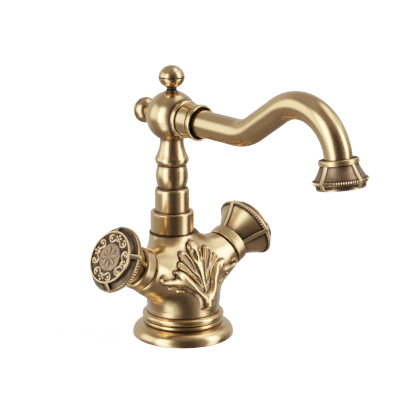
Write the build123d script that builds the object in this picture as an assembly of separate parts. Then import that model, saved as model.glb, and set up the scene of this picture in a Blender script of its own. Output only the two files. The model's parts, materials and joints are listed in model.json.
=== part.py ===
from build123d import *
from math import atan, cos, radians, sin, sqrt, tan
import os

# A two-handle basin mixer with a swivel spout, in millimetres.
# The origin is the centre of the base on the deck, +Z is up, the spout points to -Y,
# the hot handle is on the -X side and the cold handle on the +X side.

# Clearances
RUN_FIT = 0.08        # radial room of a piece that turns in a bore
RUN_GAP = 0.3         # room between faces that turn past each other
SEAT_FIT = 0.05       # radial room of a piece that is fixed in a bore
LAP_GAP = 0.05        # film between the two ceramic discs of a valve

# Base flange, from the deck up
FLANGE_R = 34.0
FLANGE_EDGE_H = 2.6
FLANGE_EDGE_ROUND = 0.6
FLANGE_DOME_H = 6.3
FLANGE_DOME_R = 27.2
FLANGE_DOME_BULGE = 1.1
FLANGE_STEP_R = 26.0
FLANGE_STEP_H = 3.3
FLANGE_BEAD_R = 2.6
FLANGE_BEAD_OUT_R = 27.6
FOOT_R = 20.0
GASKET_IN_R = 24.0
GASKET_W = 5.0
GASKET_H = 1.8

# Body casting, rises are counted from the waist and setbacks from the base axis
WAIST_R = 24.2
BELLY_RISE = 12.6
BELLY_R = 23.5
BELLY_SETBACK = -0.4
CHEST_RISE = 27.6
CHEST_R = 20.0
CHEST_SETBACK = 4.0
SHOULDER_RISE = 40.6
SHOULDER_R = 16.9
SHOULDER_SETBACK = 8.3
BODY_H = 52.1
NECK_R = 15.6
COLUMN_SETBACK = 10.7
CROTCH_FILLET = 9.0

# Arms, lengths are counted along the arm axis
ARM_TILT = 27.5
ARM_ROOT_RISE = 15.5
ARM_LENGTH = 41.0
ARM_FOOT_X = 3.0
ARM_FOOT_RISE = 3.6
ARM_FOOT_R = 16.5
ARM_ELBOW_R = 17.4
ARM_THROAT_R = 16.2
ARM_BOSS_L = 11.0
ARM_MOUTH_R = 14.4
ARM_BOSS_TAPER = 0.4

# Acanthus leaf in relief on the front of the body. Heights are counted off the plain casting, and a lobe
# is two circles and their tangents: ((x, rise), radius) at its base and at its tip, mirrored about x = 0.
LEAF_CENTRE_HEIGHT = 3.2
LEAF_ARM_HEIGHT = 2.9
LEAF_SIDE_HEIGHT = 2.4
LEAF_STEM_HEIGHT = 2.0
LEAF_HOLLOW_HEIGHT = 1.1
LEAF_MARGIN = 8.0     # room in front of the waist that the relief is cut from
LEAF_CENTRE = (((0, 19.5), 2.4), ((0, 44.4), 4.6))
LEAF_STEM = (((0, 3.0), 5.0), ((0, 13.0), 6.0))
LEAF_SIDES = (
    (((1.8, 20.0), 1.6), ((10.3, 39.4), 3.8)),
    (((3.2, 20.0), 1.6), ((16.6, 36.2), 3.0)))
LEAF_ARMS = (
    (((3.6, 14.0), 4.0), ((11.0, 22.2), 4.2)),
    (((11.0, 22.2), 4.2), ((18.6, 27.4), 4.2)),
    (((18.6, 27.4), 4.2), ((22.6, 31.4), 2.0)),
    (((18.6, 26.6), 3.6), ((26.4, 27.6), 2.3)),
    (((26.4, 27.6), 2.3), ((30.4, 30.6), 2.6)))
LEAF_HOLLOWS = (
    (((1.3, 27.0), 0.6), ((2.1, 44.0), 1.5)),
    (((4.4, 26.0), 0.7), ((10.1, 39.0), 2.4)),
    (((7.4, 25.2), 0.6), ((16.2, 35.8), 1.6)),
    (((14.0, 25.2), 1.0), ((20.4, 29.2), 1.8)),
    (((30.2, 30.4), 1.1), ((30.4, 30.6), 1.1)))

# Waterways and fixings in the body
INLET_X = 9.0
INLET_R = 4.5
INLET_DEPTH = 12.0
WATERWAY_R = 3.4
STUD_Y = 13.0
STUD_R = 2.5
STUD_DEPTH = 14.0
CHAMBER_R = 6.0
CHAMBER_DEPTH = 9.0
OUTFLOW_R = 2.8

# Valve headworks, places are counted outwards from the arm's mouth
SEAT_DEPTH = 20.0
HEADWORK_R = 9.2
SEAL_T = 1.4
SEAL_BORE_R = 4.2
DISC_R = 7.4
DISC_T = 3.0
DISC_PORT_IN_R = 2.0
DISC_PORT_OUT_R = 5.8
DISC_PORT_ANGLE = 62.0
SPINDLE_R = 3.9
SPINDLE_FLANGE_R = 7.0
SPINDLE_FLANGE_T = 2.8
HEADWORK_HEX = 20.5
HEADWORK_HEX_H = 5.0
HEADWORK_GUIDE_R = 6.4
HEADWORK_GUIDE_H = 6.0
HEADWORK_GROOVE_R = 8.5
HEADWORK_FLANGE_R = 11.8
HEADWORK_FLANGE_T = 1.0
HEADWORK_ORING_R = 0.75
WINDOW_W = 6.0

# Handles, a bell with a neck ring, a beaded ring and a round face
HANDLE_GAP = 1.2
HANDLE_RING_R = 14.3
HANDLE_RING_H = 8.2
HANDLE_NECK_R = 11.9
HANDLE_FLARE_H = 14.0
HANDLE_MOUTH_R = 20.8
HANDLE_BEAD_R = 1.5
HANDLE_RIM_H = 5.0
HANDLE_FACE_R = 17.6
HANDLE_RIB_W = 3.2
HANDLE_RIB_H = 0.8
HANDLE_BEADS = 52
HANDLE_WALL = 1.5
FLARE_SAG = 0.07        # how far the middle of a bell's flare hangs back, as a share of its height
BEAD_NOTCH_W = 0.6      # width and height of the notches, as shares of the bead's radius
BEAD_NOTCH_H = 1.5
RING_BEVEL = 0.33       # bevel and rounded shoulder of a bell's ring, as shares of its step to the neck
RING_SHOULDER = 0.5
RING_SHOULDER_FALL = (0.2, 0.12)
RIM_BREAK = 0.33        # where a bell's rim changes its slope, as a share of the rim's height
FACE_RIM_W = 1.1
FACE_RECESS = 0.9
CAP_R = 9.5
CAP_T = 1.4
CAP_PLUG_R = 6.0
CAP_PLUG_H = 2.6
SPINDLE_ENGAGE = 7.0
SCREW_R = 2.0
SCREW_L = 10.0
SCREW_HEAD_R = 3.6
SCREW_HEAD_H = 2.4
SCREW_SLOT_W = 0.9
SCREW_SLOT_D = 1.1
HANDLE_REST_TURN = {"hot": 15.0, "cold": -6.5}

# Collar nut and the turning seat of the spout
COLLAR_WALL = 1.4
COLLAR_R = 14.7
COLLAR_LIP_H = 3.0
COLLAR_ROUND = 0.8
NECK_THREAD_H = 6.5
WASHER_T = 1.0
THRUST_FLANGE_H = 3.6
SPIGOT_R = 8.4
SPIGOT_L = 22.0
ORING_MINOR_R = 0.9
ORING_GROOVE_R = 6.6
ORING_SPACING = 6.0
ORING_END = 5.0

# Turned column, heights of its members from the collar's top upwards
COLUMN_BORE_R = 5.4
COLUMN_FOOT_R = 11.7
COLUMN_FOOT_H = 13.1
COLUMN_GROOVE_R = 9.7
COLUMN_SHOULDER_H = 3.2
COLUMN_BARREL_R = 11.0
COLUMN_BARREL_H = 15.1
COLUMN_RIDGE_R = 11.4
COLUMN_RIDGE_H = 6.2
COLUMN_TAPER_H = 11.6
COLUMN_TAPER_R = 8.0
COLUMN_SHOULDER_BULGE = 0.4
COLUMN_SHOULDER_BEND = 0.6     # heights along a member, as shares of it
COLUMN_RIDGE_CREST = 0.7
COLUMN_RIDGE_FALL = 0.7
COLUMN_TAPER_BEND = 0.5
COLUMN_TAPER_HOLLOW = 0.18     # share of the taper's step that is left at its bend
COLUMN_TENON_R = 6.8
COLUMN_TENON_L = 5.5

# Hub ball and finials
BALL_R = 17.2
FINIAL_SEAT_R = 4.2
FINIAL_NECK_R = 3.45
FINIAL_NECK_H = 2.9
FINIAL_R = 8.9
FINIAL_NECK_BEND = 0.6         # where the neck is narrowest, as a share of its height
FINIAL_NECK_FLARE = 0.5
FINIAL_CUP_H = 6.5
FINIAL_CUP_BEND = (0.84, 0.38)  # radius and height of a point on the cup, as shares of its own
FINIAL_GROOVE_W = 0.7
FINIAL_GROOVE_D = 0.5
FINIAL_DOME_H = 7.4
FINIAL_STUD_R = 2.4
FINIAL_STUD_L = 6.0

# Socket that carries the spout tube, along the spout axis from the ball outwards
SPOUT_DIP = 1.0
SOCKET_SEAT_R = 12.4
SOCKET_RING_R = 12.9
SOCKET_RING_H = 3.4
SOCKET_R = 11.6
SOCKET_BARREL_H = 8.4
SOCKET_GROOVE_R = 10.9
SOCKET_GROOVE_W = 0.9
SOCKET_RIM_R = 12.2
SOCKET_RIM_H = 3.4
SOCKET_RECESS_R = 10.4
SOCKET_RECESS_D = 2.0
SOCKET_TENON_R = 7.4
SOCKET_TENON_L = 5.0
TUBE_SEAT_L = 9.0

# Spout tube
TUBE_R = 9.0
TUBE_WALL = 1.5
SPOUT_RUN = 32.4
SPOUT_RISE_R = 28.0
SPOUT_RISE_ANGLE = 34.4
SPOUT_CLIMB = 27.3
SPOUT_CREST_R = 32.65
SPOUT_DROP_ANGLE = 80.9
TUBE_IN_NOZZLE = 7.5

# Nozzle, a smaller bell of the same family
NOZZLE_RING_R = 12.7
NOZZLE_RING_H = 3.5
NOZZLE_NECK_R = 11.9
NOZZLE_FLARE_H = 8.6
NOZZLE_MOUTH_R = 16.5
NOZZLE_BEAD_R = 1.2
NOZZLE_RIM_H = 3.8
NOZZLE_RIM_R = 15.5
NOZZLE_RIB_W = 3.4
NOZZLE_RIB_H = 0.5
NOZZLE_BEADS = 52
AERATOR_R = 11.5
AERATOR_H = 7.0
AERATOR_WALL = 1.4
AERATOR_GASKET_T = 1.5
AERATOR_GASKET_BORE_R = 7.0
SCREEN_T = 1.2
SCREEN_HOLE_R = 1.0
SCREEN_PITCH = 3.0

# Places that follow from the sizes above
WAIST_Z = FLANGE_EDGE_H + FLANGE_DOME_H + FLANGE_STEP_H + 2 * FLANGE_BEAD_R
NECK_Z = WAIST_Z + BODY_H
ARM_ROOT = Vector(0, 0, WAIST_Z + ARM_ROOT_RISE)
NECK_TOP_Z = NECK_Z + NECK_THREAD_H
THRUST_Z = NECK_TOP_Z + WASHER_T + LAP_GAP
COLLAR_TOP_Z = THRUST_Z + THRUST_FLANGE_H + RUN_GAP + COLLAR_LIP_H
NECK_BORE_R = SPIGOT_R + RUN_FIT
SPIGOT_Z = THRUST_Z - SPIGOT_L
CHAMBER_Z = SPIGOT_Z - RUN_GAP
COLUMN_TOP_Z = (COLLAR_TOP_Z + COLUMN_FOOT_H + COLUMN_SHOULDER_H + COLUMN_BARREL_H + COLUMN_RIDGE_H
                + COLUMN_TAPER_H)
BALL_Z = COLUMN_TOP_Z + sqrt(BALL_R ** 2 - COLUMN_TAPER_R ** 2)
HANDLE_H = HANDLE_RING_H + HANDLE_FLARE_H + 2 * HANDLE_BEAD_R + HANDLE_RIM_H
NOZZLE_H = NOZZLE_RING_H + NOZZLE_FLARE_H + 2 * NOZZLE_BEAD_R + NOZZLE_RIM_H
SPINDLE_TOP = HEADWORK_HEX_H + HEADWORK_GUIDE_H + RUN_GAP + SPINDLE_ENGAGE
SIDES = {"hot": -1, "cold": 1}


def rod(radius, low, high):
    """A cylinder on the Z axis between two heights."""
    return Pos(0, 0, low) * Cylinder(radius, high - low, align=(Align.CENTER, Align.CENTER, Align.MIN))


def ring(inner, outer, low, high):
    """A plain ring on the Z axis between two heights."""
    return rod(outer, low, high) - rod(inner, low, high)


def turned(start, *moves):
    """A turned solid on the Z axis.

    A move is a point (radius, height) to draw a line to, or a pair of points for an arc through the first
    to the second. The outline closes with a line back to the start.
    """
    edges = []
    here = start
    for move in moves + (start,):
        if isinstance(move[0], tuple):
            through, there = move
            edges.append(ThreePointArc((here[0], 0, here[1]), (through[0], 0, through[1]), (there[0], 0, there[1])))
        else:
            there = move
            edges.append(Line((here[0], 0, here[1]), (there[0], 0, there[1])))
        here = there
    return revolve(make_face(edges), Axis.Z)


def between(start, end, radius):
    """A cylinder from one point to another."""
    route = end - start
    return Plane(origin=start, z_dir=route) * rod(radius, 0, route.length)


def arm_axis(sign):
    """Unit vector along an arm, outwards."""
    return Vector(sign * cos(radians(ARM_TILT)), 0, sin(radians(ARM_TILT)))


def arm_frame(sign):
    """Frame at the centre of an arm's mouth: Z outwards along the arm, X to the front."""
    return Plane(origin=ARM_ROOT + arm_axis(sign) * ARM_LENGTH, x_dir=(0, -1, 0), z_dir=arm_axis(sign))


def base_flange():
    """Turned cover ring with a domed skirt, a step and a bead, and a groove below for the gasket."""
    edge_top = FLANGE_EDGE_H
    dome_top = edge_top + FLANGE_DOME_H
    step_top = dome_top + FLANGE_STEP_H
    bead_z = step_top + FLANGE_BEAD_R
    bead_mid_r = FLANGE_BEAD_OUT_R - FLANGE_BEAD_R
    dome_mid = ((FLANGE_R + FLANGE_DOME_R) / 2 + FLANGE_DOME_BULGE, (edge_top + dome_top) / 2 + FLANGE_DOME_BULGE)
    bore_r = FOOT_R + SEAT_FIT
    flange = turned(
        (bore_r, 0),
        (FLANGE_R - FLANGE_EDGE_ROUND, 0),
        (FLANGE_R, FLANGE_EDGE_ROUND),
        (FLANGE_R, edge_top),
        (dome_mid, (FLANGE_DOME_R, dome_top)),
        (FLANGE_STEP_R, dome_top),
        (FLANGE_STEP_R, step_top),
        (bead_mid_r, step_top),
        ((FLANGE_BEAD_OUT_R, bead_z), (bead_mid_r, WAIST_Z)),
        (bore_r, WAIST_Z))
    return flange - ring(GASKET_IN_R, GASKET_IN_R + GASKET_W, 0, GASKET_H)


def trunk(skin):
    """Leaning trunk of the casting from the waist to the neck, grown outwards by a skin."""
    sections = (
        (0, WAIST_R, 0),
        (BELLY_RISE, BELLY_R, BELLY_SETBACK),
        (CHEST_RISE, CHEST_R, CHEST_SETBACK),
        (SHOULDER_RISE, SHOULDER_R, SHOULDER_SETBACK),
        (BODY_H, NECK_R, COLUMN_SETBACK))
    return loft([
        Plane(origin=(0, setback, WAIST_Z + rise), x_dir=(0, 1, 0), z_dir=(0, 0, 1)) * Circle(radius + skin)
        for rise, radius, setback in sections])


def arm(sign, skin):
    """One arm: an elbow that turns from upright to the arm's tilt, then a boss for the valve."""
    axis = arm_axis(sign)
    half_turn = radians(90 - ARM_TILT) / 2
    corner_rise = ARM_ROOT_RISE + ARM_FOOT_X * tan(radians(ARM_TILT))
    tangent = corner_rise - ARM_FOOT_RISE
    elbow_r = tangent / tan(half_turn)
    elbow_x = ARM_FOOT_X + elbow_r * (1 - cos(half_turn))
    elbow_z = WAIST_Z + ARM_FOOT_RISE + elbow_r * sin(half_turn)
    throat = ARM_FOOT_X / cos(radians(ARM_TILT)) + tangent
    boss = ARM_LENGTH - ARM_BOSS_L
    stations = (
        (Vector(sign * ARM_FOOT_X, 0, WAIST_Z + ARM_FOOT_RISE), Vector(0, 0, 1), ARM_FOOT_R),
        (Vector(sign * elbow_x, 0, elbow_z), Vector(sign * sin(half_turn), 0, cos(half_turn)), ARM_ELBOW_R),
        (ARM_ROOT + axis * throat, axis, ARM_THROAT_R),
        (ARM_ROOT + axis * boss, axis, ARM_MOUTH_R + ARM_BOSS_TAPER),
        (ARM_ROOT + axis * ARM_LENGTH, axis, ARM_MOUTH_R))
    return loft([
        Plane(origin=centre, x_dir=(0, 1, 0), z_dir=direction) * Circle(radius + skin)
        for centre, direction, radius in stations])


def casting(skin=0.0):
    """Plain outer form of the body, grown outwards by a skin, with the arms blended into the trunk."""
    form = trunk(skin)
    for sign in SIDES.values():
        form += arm(sign, skin)
    curved = [face for face in form.faces() if face.geom_type != GeomType.PLANE]
    crotch = [
        edge for edge in form.edges()
        if sum(any(edge.is_same(other) for other in face.edges()) for face in curved) == 2]
    return fillet(crotch, CROTCH_FILLET)


def lobe(base, base_r, tip, tip_r):
    """Outline of one lobe of the leaf, seen from the front: two circles and their common tangents."""
    rounds = [Pos(base[0], base[1]) * CenterArc((0, 0), base_r, 0, 360),
              Pos(tip[0], tip[1]) * CenterArc((0, 0), tip_r, 0, 360)]
    return make_hull([arc.edge() for arc in rounds])


def lobes(shapes):
    """Outline of a set of lobes and their mirror images."""
    outline = Sketch()
    for (base, base_r), (tip, tip_r) in shapes:
        for sign in SIDES.values():
            outline += lobe((sign * base[0], base[1]), base_r, (sign * tip[0], tip[1]), tip_r)
    return outline


def behind(outline):
    """Everything behind an outline that is drawn on a plane in front of the body, back to the base axis."""
    reach = WAIST_R + LEAF_MARGIN
    front = Plane(origin=(0, -reach, WAIST_Z), x_dir=(1, 0, 0), z_dir=(0, -1, 0))
    return extrude(front * outline, reach, dir=(0, 1, 0))


def mixer_body():
    """Body casting with the leaf in relief, waterways, valve seats, spout bore and fixing holes."""
    body = casting()
    for shapes, height in (
            ((LEAF_STEM,), LEAF_STEM_HEIGHT), (LEAF_SIDES, LEAF_SIDE_HEIGHT),
            (LEAF_ARMS, LEAF_ARM_HEIGHT), ((LEAF_CENTRE,), LEAF_CENTRE_HEIGHT)):
        body += behind(lobes(shapes)) & casting(height)
    body -= behind(lobes(LEAF_HOLLOWS)) - casting(LEAF_HOLLOW_HEIGHT)
    body += rod(FOOT_R, 0, WAIST_Z)
    column = Pos(0, COLUMN_SETBACK, 0)
    body += column * rod(COLLAR_R - COLLAR_WALL - SEAT_FIT, NECK_Z, NECK_TOP_Z)
    body -= column * rod(NECK_BORE_R, CHAMBER_Z, NECK_TOP_Z)
    chamber_floor = CHAMBER_Z - CHAMBER_DEPTH
    body -= column * rod(CHAMBER_R, chamber_floor, CHAMBER_Z)
    mixing_point = Vector(0, COLUMN_SETBACK, chamber_floor + OUTFLOW_R)
    for sign in SIDES.values():
        axis = arm_axis(sign)
        body -= arm_frame(sign) * rod(HEADWORK_R + SEAT_FIT, -SEAT_DEPTH, 0)
        body -= arm_frame(sign) * rod(HEADWORK_R + 2 * SEAT_FIT + 2 * HEADWORK_ORING_R, -2 * HEADWORK_ORING_R, 0)
        turn = ARM_ROOT + axis * (INLET_X / cos(radians(ARM_TILT)))
        seat = ARM_ROOT + axis * (ARM_LENGTH - SEAT_DEPTH)
        body -= between(turn, seat, WATERWAY_R)
        body -= Pos(turn.X, 0, 0) * rod(WATERWAY_R, 0, turn.Z)
        body -= Pos(turn.X, 0, 0) * rod(INLET_R, 0, INLET_DEPTH)
        groove = ARM_ROOT + axis * (ARM_LENGTH - SEAT_DEPTH + SEAL_T + DISC_T + DISC_T / 2)
        body -= between(groove + Vector(0, HEADWORK_GROOVE_R - OUTFLOW_R, 0), mixing_point, OUTFLOW_R)
        body -= Pos(0, sign * STUD_Y, 0) * rod(STUD_R, 0, STUD_DEPTH)
    return body


def headwork():
    """Valve cartridge: barrel with an outflow groove and windows, hexagon flange and spindle guide."""
    low = -SEAT_DEPTH + SEAL_T
    cavity_top = low + 2 * DISC_T + LAP_GAP + SPINDLE_FLANGE_T + RUN_GAP
    groove_low = low + DISC_T
    groove_high = groove_low + DISC_T
    top = HEADWORK_HEX_H + HEADWORK_GUIDE_H
    body = rod(HEADWORK_R, low, 0) - ring(HEADWORK_GROOVE_R, HEADWORK_R, groove_low, groove_high)
    body += rod(HEADWORK_FLANGE_R, 0, HEADWORK_FLANGE_T)
    body += extrude(RegularPolygon(HEADWORK_HEX / 2, 6, major_radius=False), HEADWORK_HEX_H)
    body += rod(HEADWORK_GUIDE_R, HEADWORK_HEX_H, top)
    body -= rod(DISC_R + SEAT_FIT, low, cavity_top)
    body -= rod(SPINDLE_R + RUN_FIT, cavity_top, top)
    return body - Pos(0, 0, (groove_low + groove_high) / 2) * Box(2 * HEADWORK_R, WINDOW_W, groove_high - groove_low)


def headwork_oring():
    """Seal round the barrel, in the counterbore of the arm's mouth under the flange."""
    return Pos(0, 0, -HEADWORK_ORING_R) * Torus(HEADWORK_R + SEAT_FIT + HEADWORK_ORING_R, HEADWORK_ORING_R)


def valve_disc(low, turn):
    """Ceramic disc with two facing ports, turned by an angle."""
    disc = rod(DISC_R, low, low + DISC_T)
    port = ring(DISC_PORT_IN_R, DISC_PORT_OUT_R, low, low + DISC_T)
    wedge = revolve(make_face(Polyline(
        (0, 0, low), (DISC_R, 0, low), (DISC_R, 0, low + DISC_T), (0, 0, low + DISC_T), close=True)),
        Axis.Z, DISC_PORT_ANGLE)
    for half in (0, 180):
        disc -= port & Rot(0, 0, turn + half - DISC_PORT_ANGLE / 2) * wedge
    return disc


def spindle():
    """Valve spindle: a flange that drives the moving disc, a round stem and a tapped end for the screw."""
    low = -SEAT_DEPTH + SEAL_T + 2 * DISC_T + LAP_GAP
    stem = rod(SPINDLE_FLANGE_R, low, low + SPINDLE_FLANGE_T) + rod(SPINDLE_R, low, SPINDLE_TOP)
    return stem - rod(SCREW_R + SEAT_FIT, SPINDLE_TOP - SCREW_L, SPINDLE_TOP)


def ribbed_bell(ring_r, ring_h, neck_r, flare_h, mouth_r, bead_r, rim_h, rim_r, rib_w, rib_h, beads):
    """Solid bell that stands on its ring: ring, flare, notched bead, tapered rim and four flat ribs.

    The bead is a round ring with notches that leave a row of beads on it, and the ribs run from the
    ring over the bead to the rim.
    """
    flare_top = ring_h + flare_h
    bead_top = flare_top + 2 * bead_r
    top = bead_top + rim_h
    edge = ring_r - neck_r
    bevel = edge * RING_BEVEL
    shoulder = ring_h - edge * RING_SHOULDER
    shoulder_mid = (ring_r - edge * RING_SHOULDER_FALL[0], ring_h - edge * RING_SHOULDER_FALL[1])
    rim_step = (mouth_r - rim_r) / 2

    def form(skin):
        """The bell's turned form above the ring, grown outwards by a skin."""
        neck = neck_r + skin
        mouth = mouth_r + skin
        sag = ((neck + mouth) / 2, ring_h + flare_h * (0.5 + FLARE_SAG))
        return turned(
            (0, 0), (neck, 0), (neck, ring_h), (sag, (mouth, flare_top)), (mouth, bead_top),
            (rim_r + rim_step + skin, bead_top + rim_h * RIM_BREAK), (rim_r + skin, top), (0, top))

    bell = form(0)
    bell += turned(
        (0, 0), (ring_r - bevel, 0), (ring_r, bevel), (ring_r, shoulder), (shoulder_mid, (neck_r, ring_h)), (0, ring_h))

    def round_ring(skin):
        """The bead's half-round ring, grown outwards by a skin."""
        return turned(
            (neck_r, flare_top - skin), (mouth_r, flare_top - skin),
            ((mouth_r + bead_r + skin, flare_top + bead_r), (mouth_r, bead_top + skin)), (neck_r, bead_top + skin))

    notch = Box(bead_r, bead_r * BEAD_NOTCH_W, bead_r * BEAD_NOTCH_H)
    bell += round_ring(0) - [
        Rot(0, 0, 360 * (step + 0.5) / beads) * Pos(mouth_r + bead_r, 0, flare_top + bead_r) * notch
        for step in range(beads)]
    over_bead = form(rib_h) + round_ring(rib_h / 2)
    over_bead &= rod(mouth_r + 2 * bead_r, shoulder, top)
    span = 4 * mouth_r
    cross = Box(span, rib_w, span) + Box(rib_w, span, span)
    return bell + (over_bead & cross)


def handle_bell():
    """Handle with its face recess and the stepped hollow for the valve, from the arm's mouth outwards."""
    bell = ribbed_bell(
        HANDLE_RING_R, HANDLE_RING_H, HANDLE_NECK_R, HANDLE_FLARE_H, HANDLE_MOUTH_R, HANDLE_BEAD_R, HANDLE_RIM_H,
        HANDLE_FACE_R, HANDLE_RIB_W, HANDLE_RIB_H, HANDLE_BEADS)
    bell = Pos(0, 0, HANDLE_GAP) * bell
    face = HANDLE_GAP + HANDLE_H
    floor = face - FACE_RECESS
    hex_room = HEADWORK_HEX_H + RUN_GAP
    guide_room = HEADWORK_HEX_H + HEADWORK_GUIDE_H + RUN_GAP
    bell -= rod(HANDLE_FACE_R - FACE_RIM_W, floor, face)
    bell -= rod(HANDLE_RING_R - HANDLE_WALL, 0, hex_room)
    bell -= rod(HEADWORK_GUIDE_R + RUN_GAP, hex_room, guide_room)
    bell -= rod(SPINDLE_R + SEAT_FIT, guide_room, SPINDLE_TOP)
    bell -= rod(SCREW_R + SEAT_FIT, SPINDLE_TOP, floor)
    bell -= rod(CAP_PLUG_R + SEAT_FIT, SPINDLE_TOP + HANDLE_WALL, floor)
    return bell


def handle_screw():
    """Slotted screw that holds the handle on the spindle."""
    under_head = SPINDLE_TOP + HANDLE_WALL
    head_top = under_head + SCREW_HEAD_H
    screw = rod(SCREW_R, SPINDLE_TOP - SCREW_L + RUN_GAP, under_head) + rod(SCREW_HEAD_R, under_head, head_top)
    return screw - Pos(0, 0, head_top) * Box(2 * SCREW_HEAD_R, SCREW_SLOT_W, 2 * SCREW_SLOT_D)


def handle_cap():
    """Round medallion with a plug that closes the screw's hole."""
    floor = HANDLE_GAP + HANDLE_H - FACE_RECESS
    cap = turned(
        (0, floor), (CAP_R, floor), (CAP_R, floor + CAP_T / 2), (CAP_R - CAP_T / 2, floor + CAP_T), (0, floor + CAP_T))
    return cap + rod(CAP_PLUG_R, floor - CAP_PLUG_H, floor)


def collar_nut():
    """Plain round nut that screws on the neck and holds the column's flange down under its lip."""
    lip = COLLAR_TOP_Z - COLLAR_LIP_H
    collar = turned(
        (0, NECK_Z), (COLLAR_R, NECK_Z), (COLLAR_R, COLLAR_TOP_Z - COLLAR_ROUND),
        (COLLAR_R - COLLAR_ROUND, COLLAR_TOP_Z), (0, COLLAR_TOP_Z))
    collar -= rod(COLLAR_R - COLLAR_WALL, NECK_Z, lip)
    return collar - rod(COLUMN_FOOT_R + RUN_FIT, lip, COLLAR_TOP_Z)


def oring_heights():
    """Heights of the two O-rings on the spigot."""
    return [SPIGOT_Z + ORING_END, SPIGOT_Z + ORING_END + ORING_SPACING]


def spout_column():
    """Turned column: spigot with O-ring grooves, thrust flange, foot, barrel, ridge, taper and tenon."""
    foot_top = COLLAR_TOP_Z + COLUMN_FOOT_H
    barrel_low = foot_top + COLUMN_SHOULDER_H
    barrel_high = barrel_low + COLUMN_BARREL_H
    ridge_top = barrel_high + COLUMN_RIDGE_H
    shoulder_mid = ((COLUMN_FOOT_R + COLUMN_GROOVE_R) / 2 + COLUMN_SHOULDER_BULGE,
                    foot_top + COLUMN_SHOULDER_H * COLUMN_SHOULDER_BEND)
    ridge_mid = (COLUMN_RIDGE_R, barrel_high + COLUMN_RIDGE_H * COLUMN_RIDGE_CREST)
    taper_mid = (COLUMN_TAPER_R + (COLUMN_RIDGE_R - COLUMN_TAPER_R) * COLUMN_TAPER_HOLLOW,
                 ridge_top + COLUMN_TAPER_H * COLUMN_TAPER_BEND)
    column = turned(
        (0, SPIGOT_Z), (SPIGOT_R, SPIGOT_Z), (SPIGOT_R, THRUST_Z),
        (COLLAR_R - COLLAR_WALL - RUN_GAP, THRUST_Z),
        (COLLAR_R - COLLAR_WALL - RUN_GAP, THRUST_Z + THRUST_FLANGE_H),
        (COLUMN_FOOT_R, THRUST_Z + THRUST_FLANGE_H),
        (COLUMN_FOOT_R, foot_top),
        (shoulder_mid, (COLUMN_GROOVE_R, barrel_low)),
        ((COLUMN_BARREL_R, (barrel_low + barrel_high) / 2), (COLUMN_GROOVE_R, barrel_high)),
        (ridge_mid, (COLUMN_RIDGE_R - COLUMN_RIDGE_FALL, ridge_top)),
        (taper_mid, (COLUMN_TAPER_R, COLUMN_TOP_Z)),
        (COLUMN_TENON_R, COLUMN_TOP_Z), (COLUMN_TENON_R, COLUMN_TOP_Z + COLUMN_TENON_L),
        (0, COLUMN_TOP_Z + COLUMN_TENON_L))
    column -= rod(COLUMN_BORE_R, SPIGOT_Z, COLUMN_TOP_Z + COLUMN_TENON_L)
    for height in oring_heights():
        column -= ring(ORING_GROOVE_R, SPIGOT_R, height - ORING_MINOR_R, height + ORING_MINOR_R)
    return column


def spigot_orings():
    """The two O-rings of the spigot."""
    return [Pos(0, 0, height) * Torus(ORING_GROOVE_R + ORING_MINOR_R, ORING_MINOR_R) for height in oring_heights()]


def ball_frame(direction):
    """Frame at the ball's centre with Z along a direction."""
    return Plane(origin=(0, COLUMN_SETBACK, BALL_Z), x_dir=(1, 0, 0), z_dir=direction)


def flat_at(radius):
    """Distance from the ball's centre to the flat whose edge has a radius."""
    return sqrt(BALL_R ** 2 - radius ** 2)


SPOUT_AXIS = Vector(0, -cos(radians(SPOUT_DIP)), -sin(radians(SPOUT_DIP)))
UP = ball_frame((0, 0, 1))
DOWN = ball_frame((0, 0, -1))
BACK = ball_frame((0, 1, 0))
AHEAD = ball_frame(SPOUT_AXIS)


def hub_ball():
    """Hollow ball with flats and holes for the column, the socket and the two finials."""
    ball = Pos(0, COLUMN_SETBACK, BALL_Z) * Sphere(BALL_R)
    for frame, seat_r, hole_r, hole_l in (
            (DOWN, COLUMN_TAPER_R, COLUMN_TENON_R, COLUMN_TENON_L),
            (AHEAD, SOCKET_SEAT_R, SOCKET_TENON_R, SOCKET_TENON_L),
            (UP, FINIAL_SEAT_R, FINIAL_STUD_R, FINIAL_STUD_L),
            (BACK, FINIAL_SEAT_R, FINIAL_STUD_R, FINIAL_STUD_L)):
        ball -= frame * rod(BALL_R, flat_at(seat_r), BALL_R)
        ball -= frame * rod(hole_r + SEAT_FIT, flat_at(seat_r) - hole_l, flat_at(seat_r))
    for frame, seat_r in ((DOWN, COLUMN_TAPER_R), (AHEAD, SOCKET_SEAT_R)):
        ball -= frame * rod(COLUMN_BORE_R, 0, flat_at(seat_r))
    return ball - Pos(0, COLUMN_SETBACK, BALL_Z) * Sphere(COLUMN_BORE_R)


def finial():
    """Turned knob on a short neck, with a groove round its widest part and a stud below."""
    low = flat_at(FINIAL_SEAT_R)
    cup_low = low + FINIAL_NECK_H
    cup_top = cup_low + FINIAL_CUP_H
    dome_low = cup_top + FINIAL_GROOVE_W
    top = dome_low + FINIAL_DOME_H
    inner = FINIAL_R - FINIAL_GROOVE_D
    dome_r = (FINIAL_R ** 2 + FINIAL_DOME_H ** 2) / (2 * FINIAL_DOME_H)
    slope = atan(FINIAL_DOME_H / FINIAL_R)
    return turned(
        (0, low - FINIAL_STUD_L), (FINIAL_STUD_R, low - FINIAL_STUD_L), (FINIAL_STUD_R, low), (FINIAL_SEAT_R, low),
        ((FINIAL_NECK_R, low + FINIAL_NECK_H * FINIAL_NECK_BEND), (FINIAL_NECK_R + FINIAL_NECK_FLARE, cup_low)),
        ((FINIAL_R * FINIAL_CUP_BEND[0], cup_low + FINIAL_CUP_H * FINIAL_CUP_BEND[1]), (FINIAL_R, cup_top)),
        (inner, cup_top), (inner, dome_low), (FINIAL_R, dome_low),
        ((dome_r * sin(slope), top - dome_r * (1 - cos(slope))), (0, top)))


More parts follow.
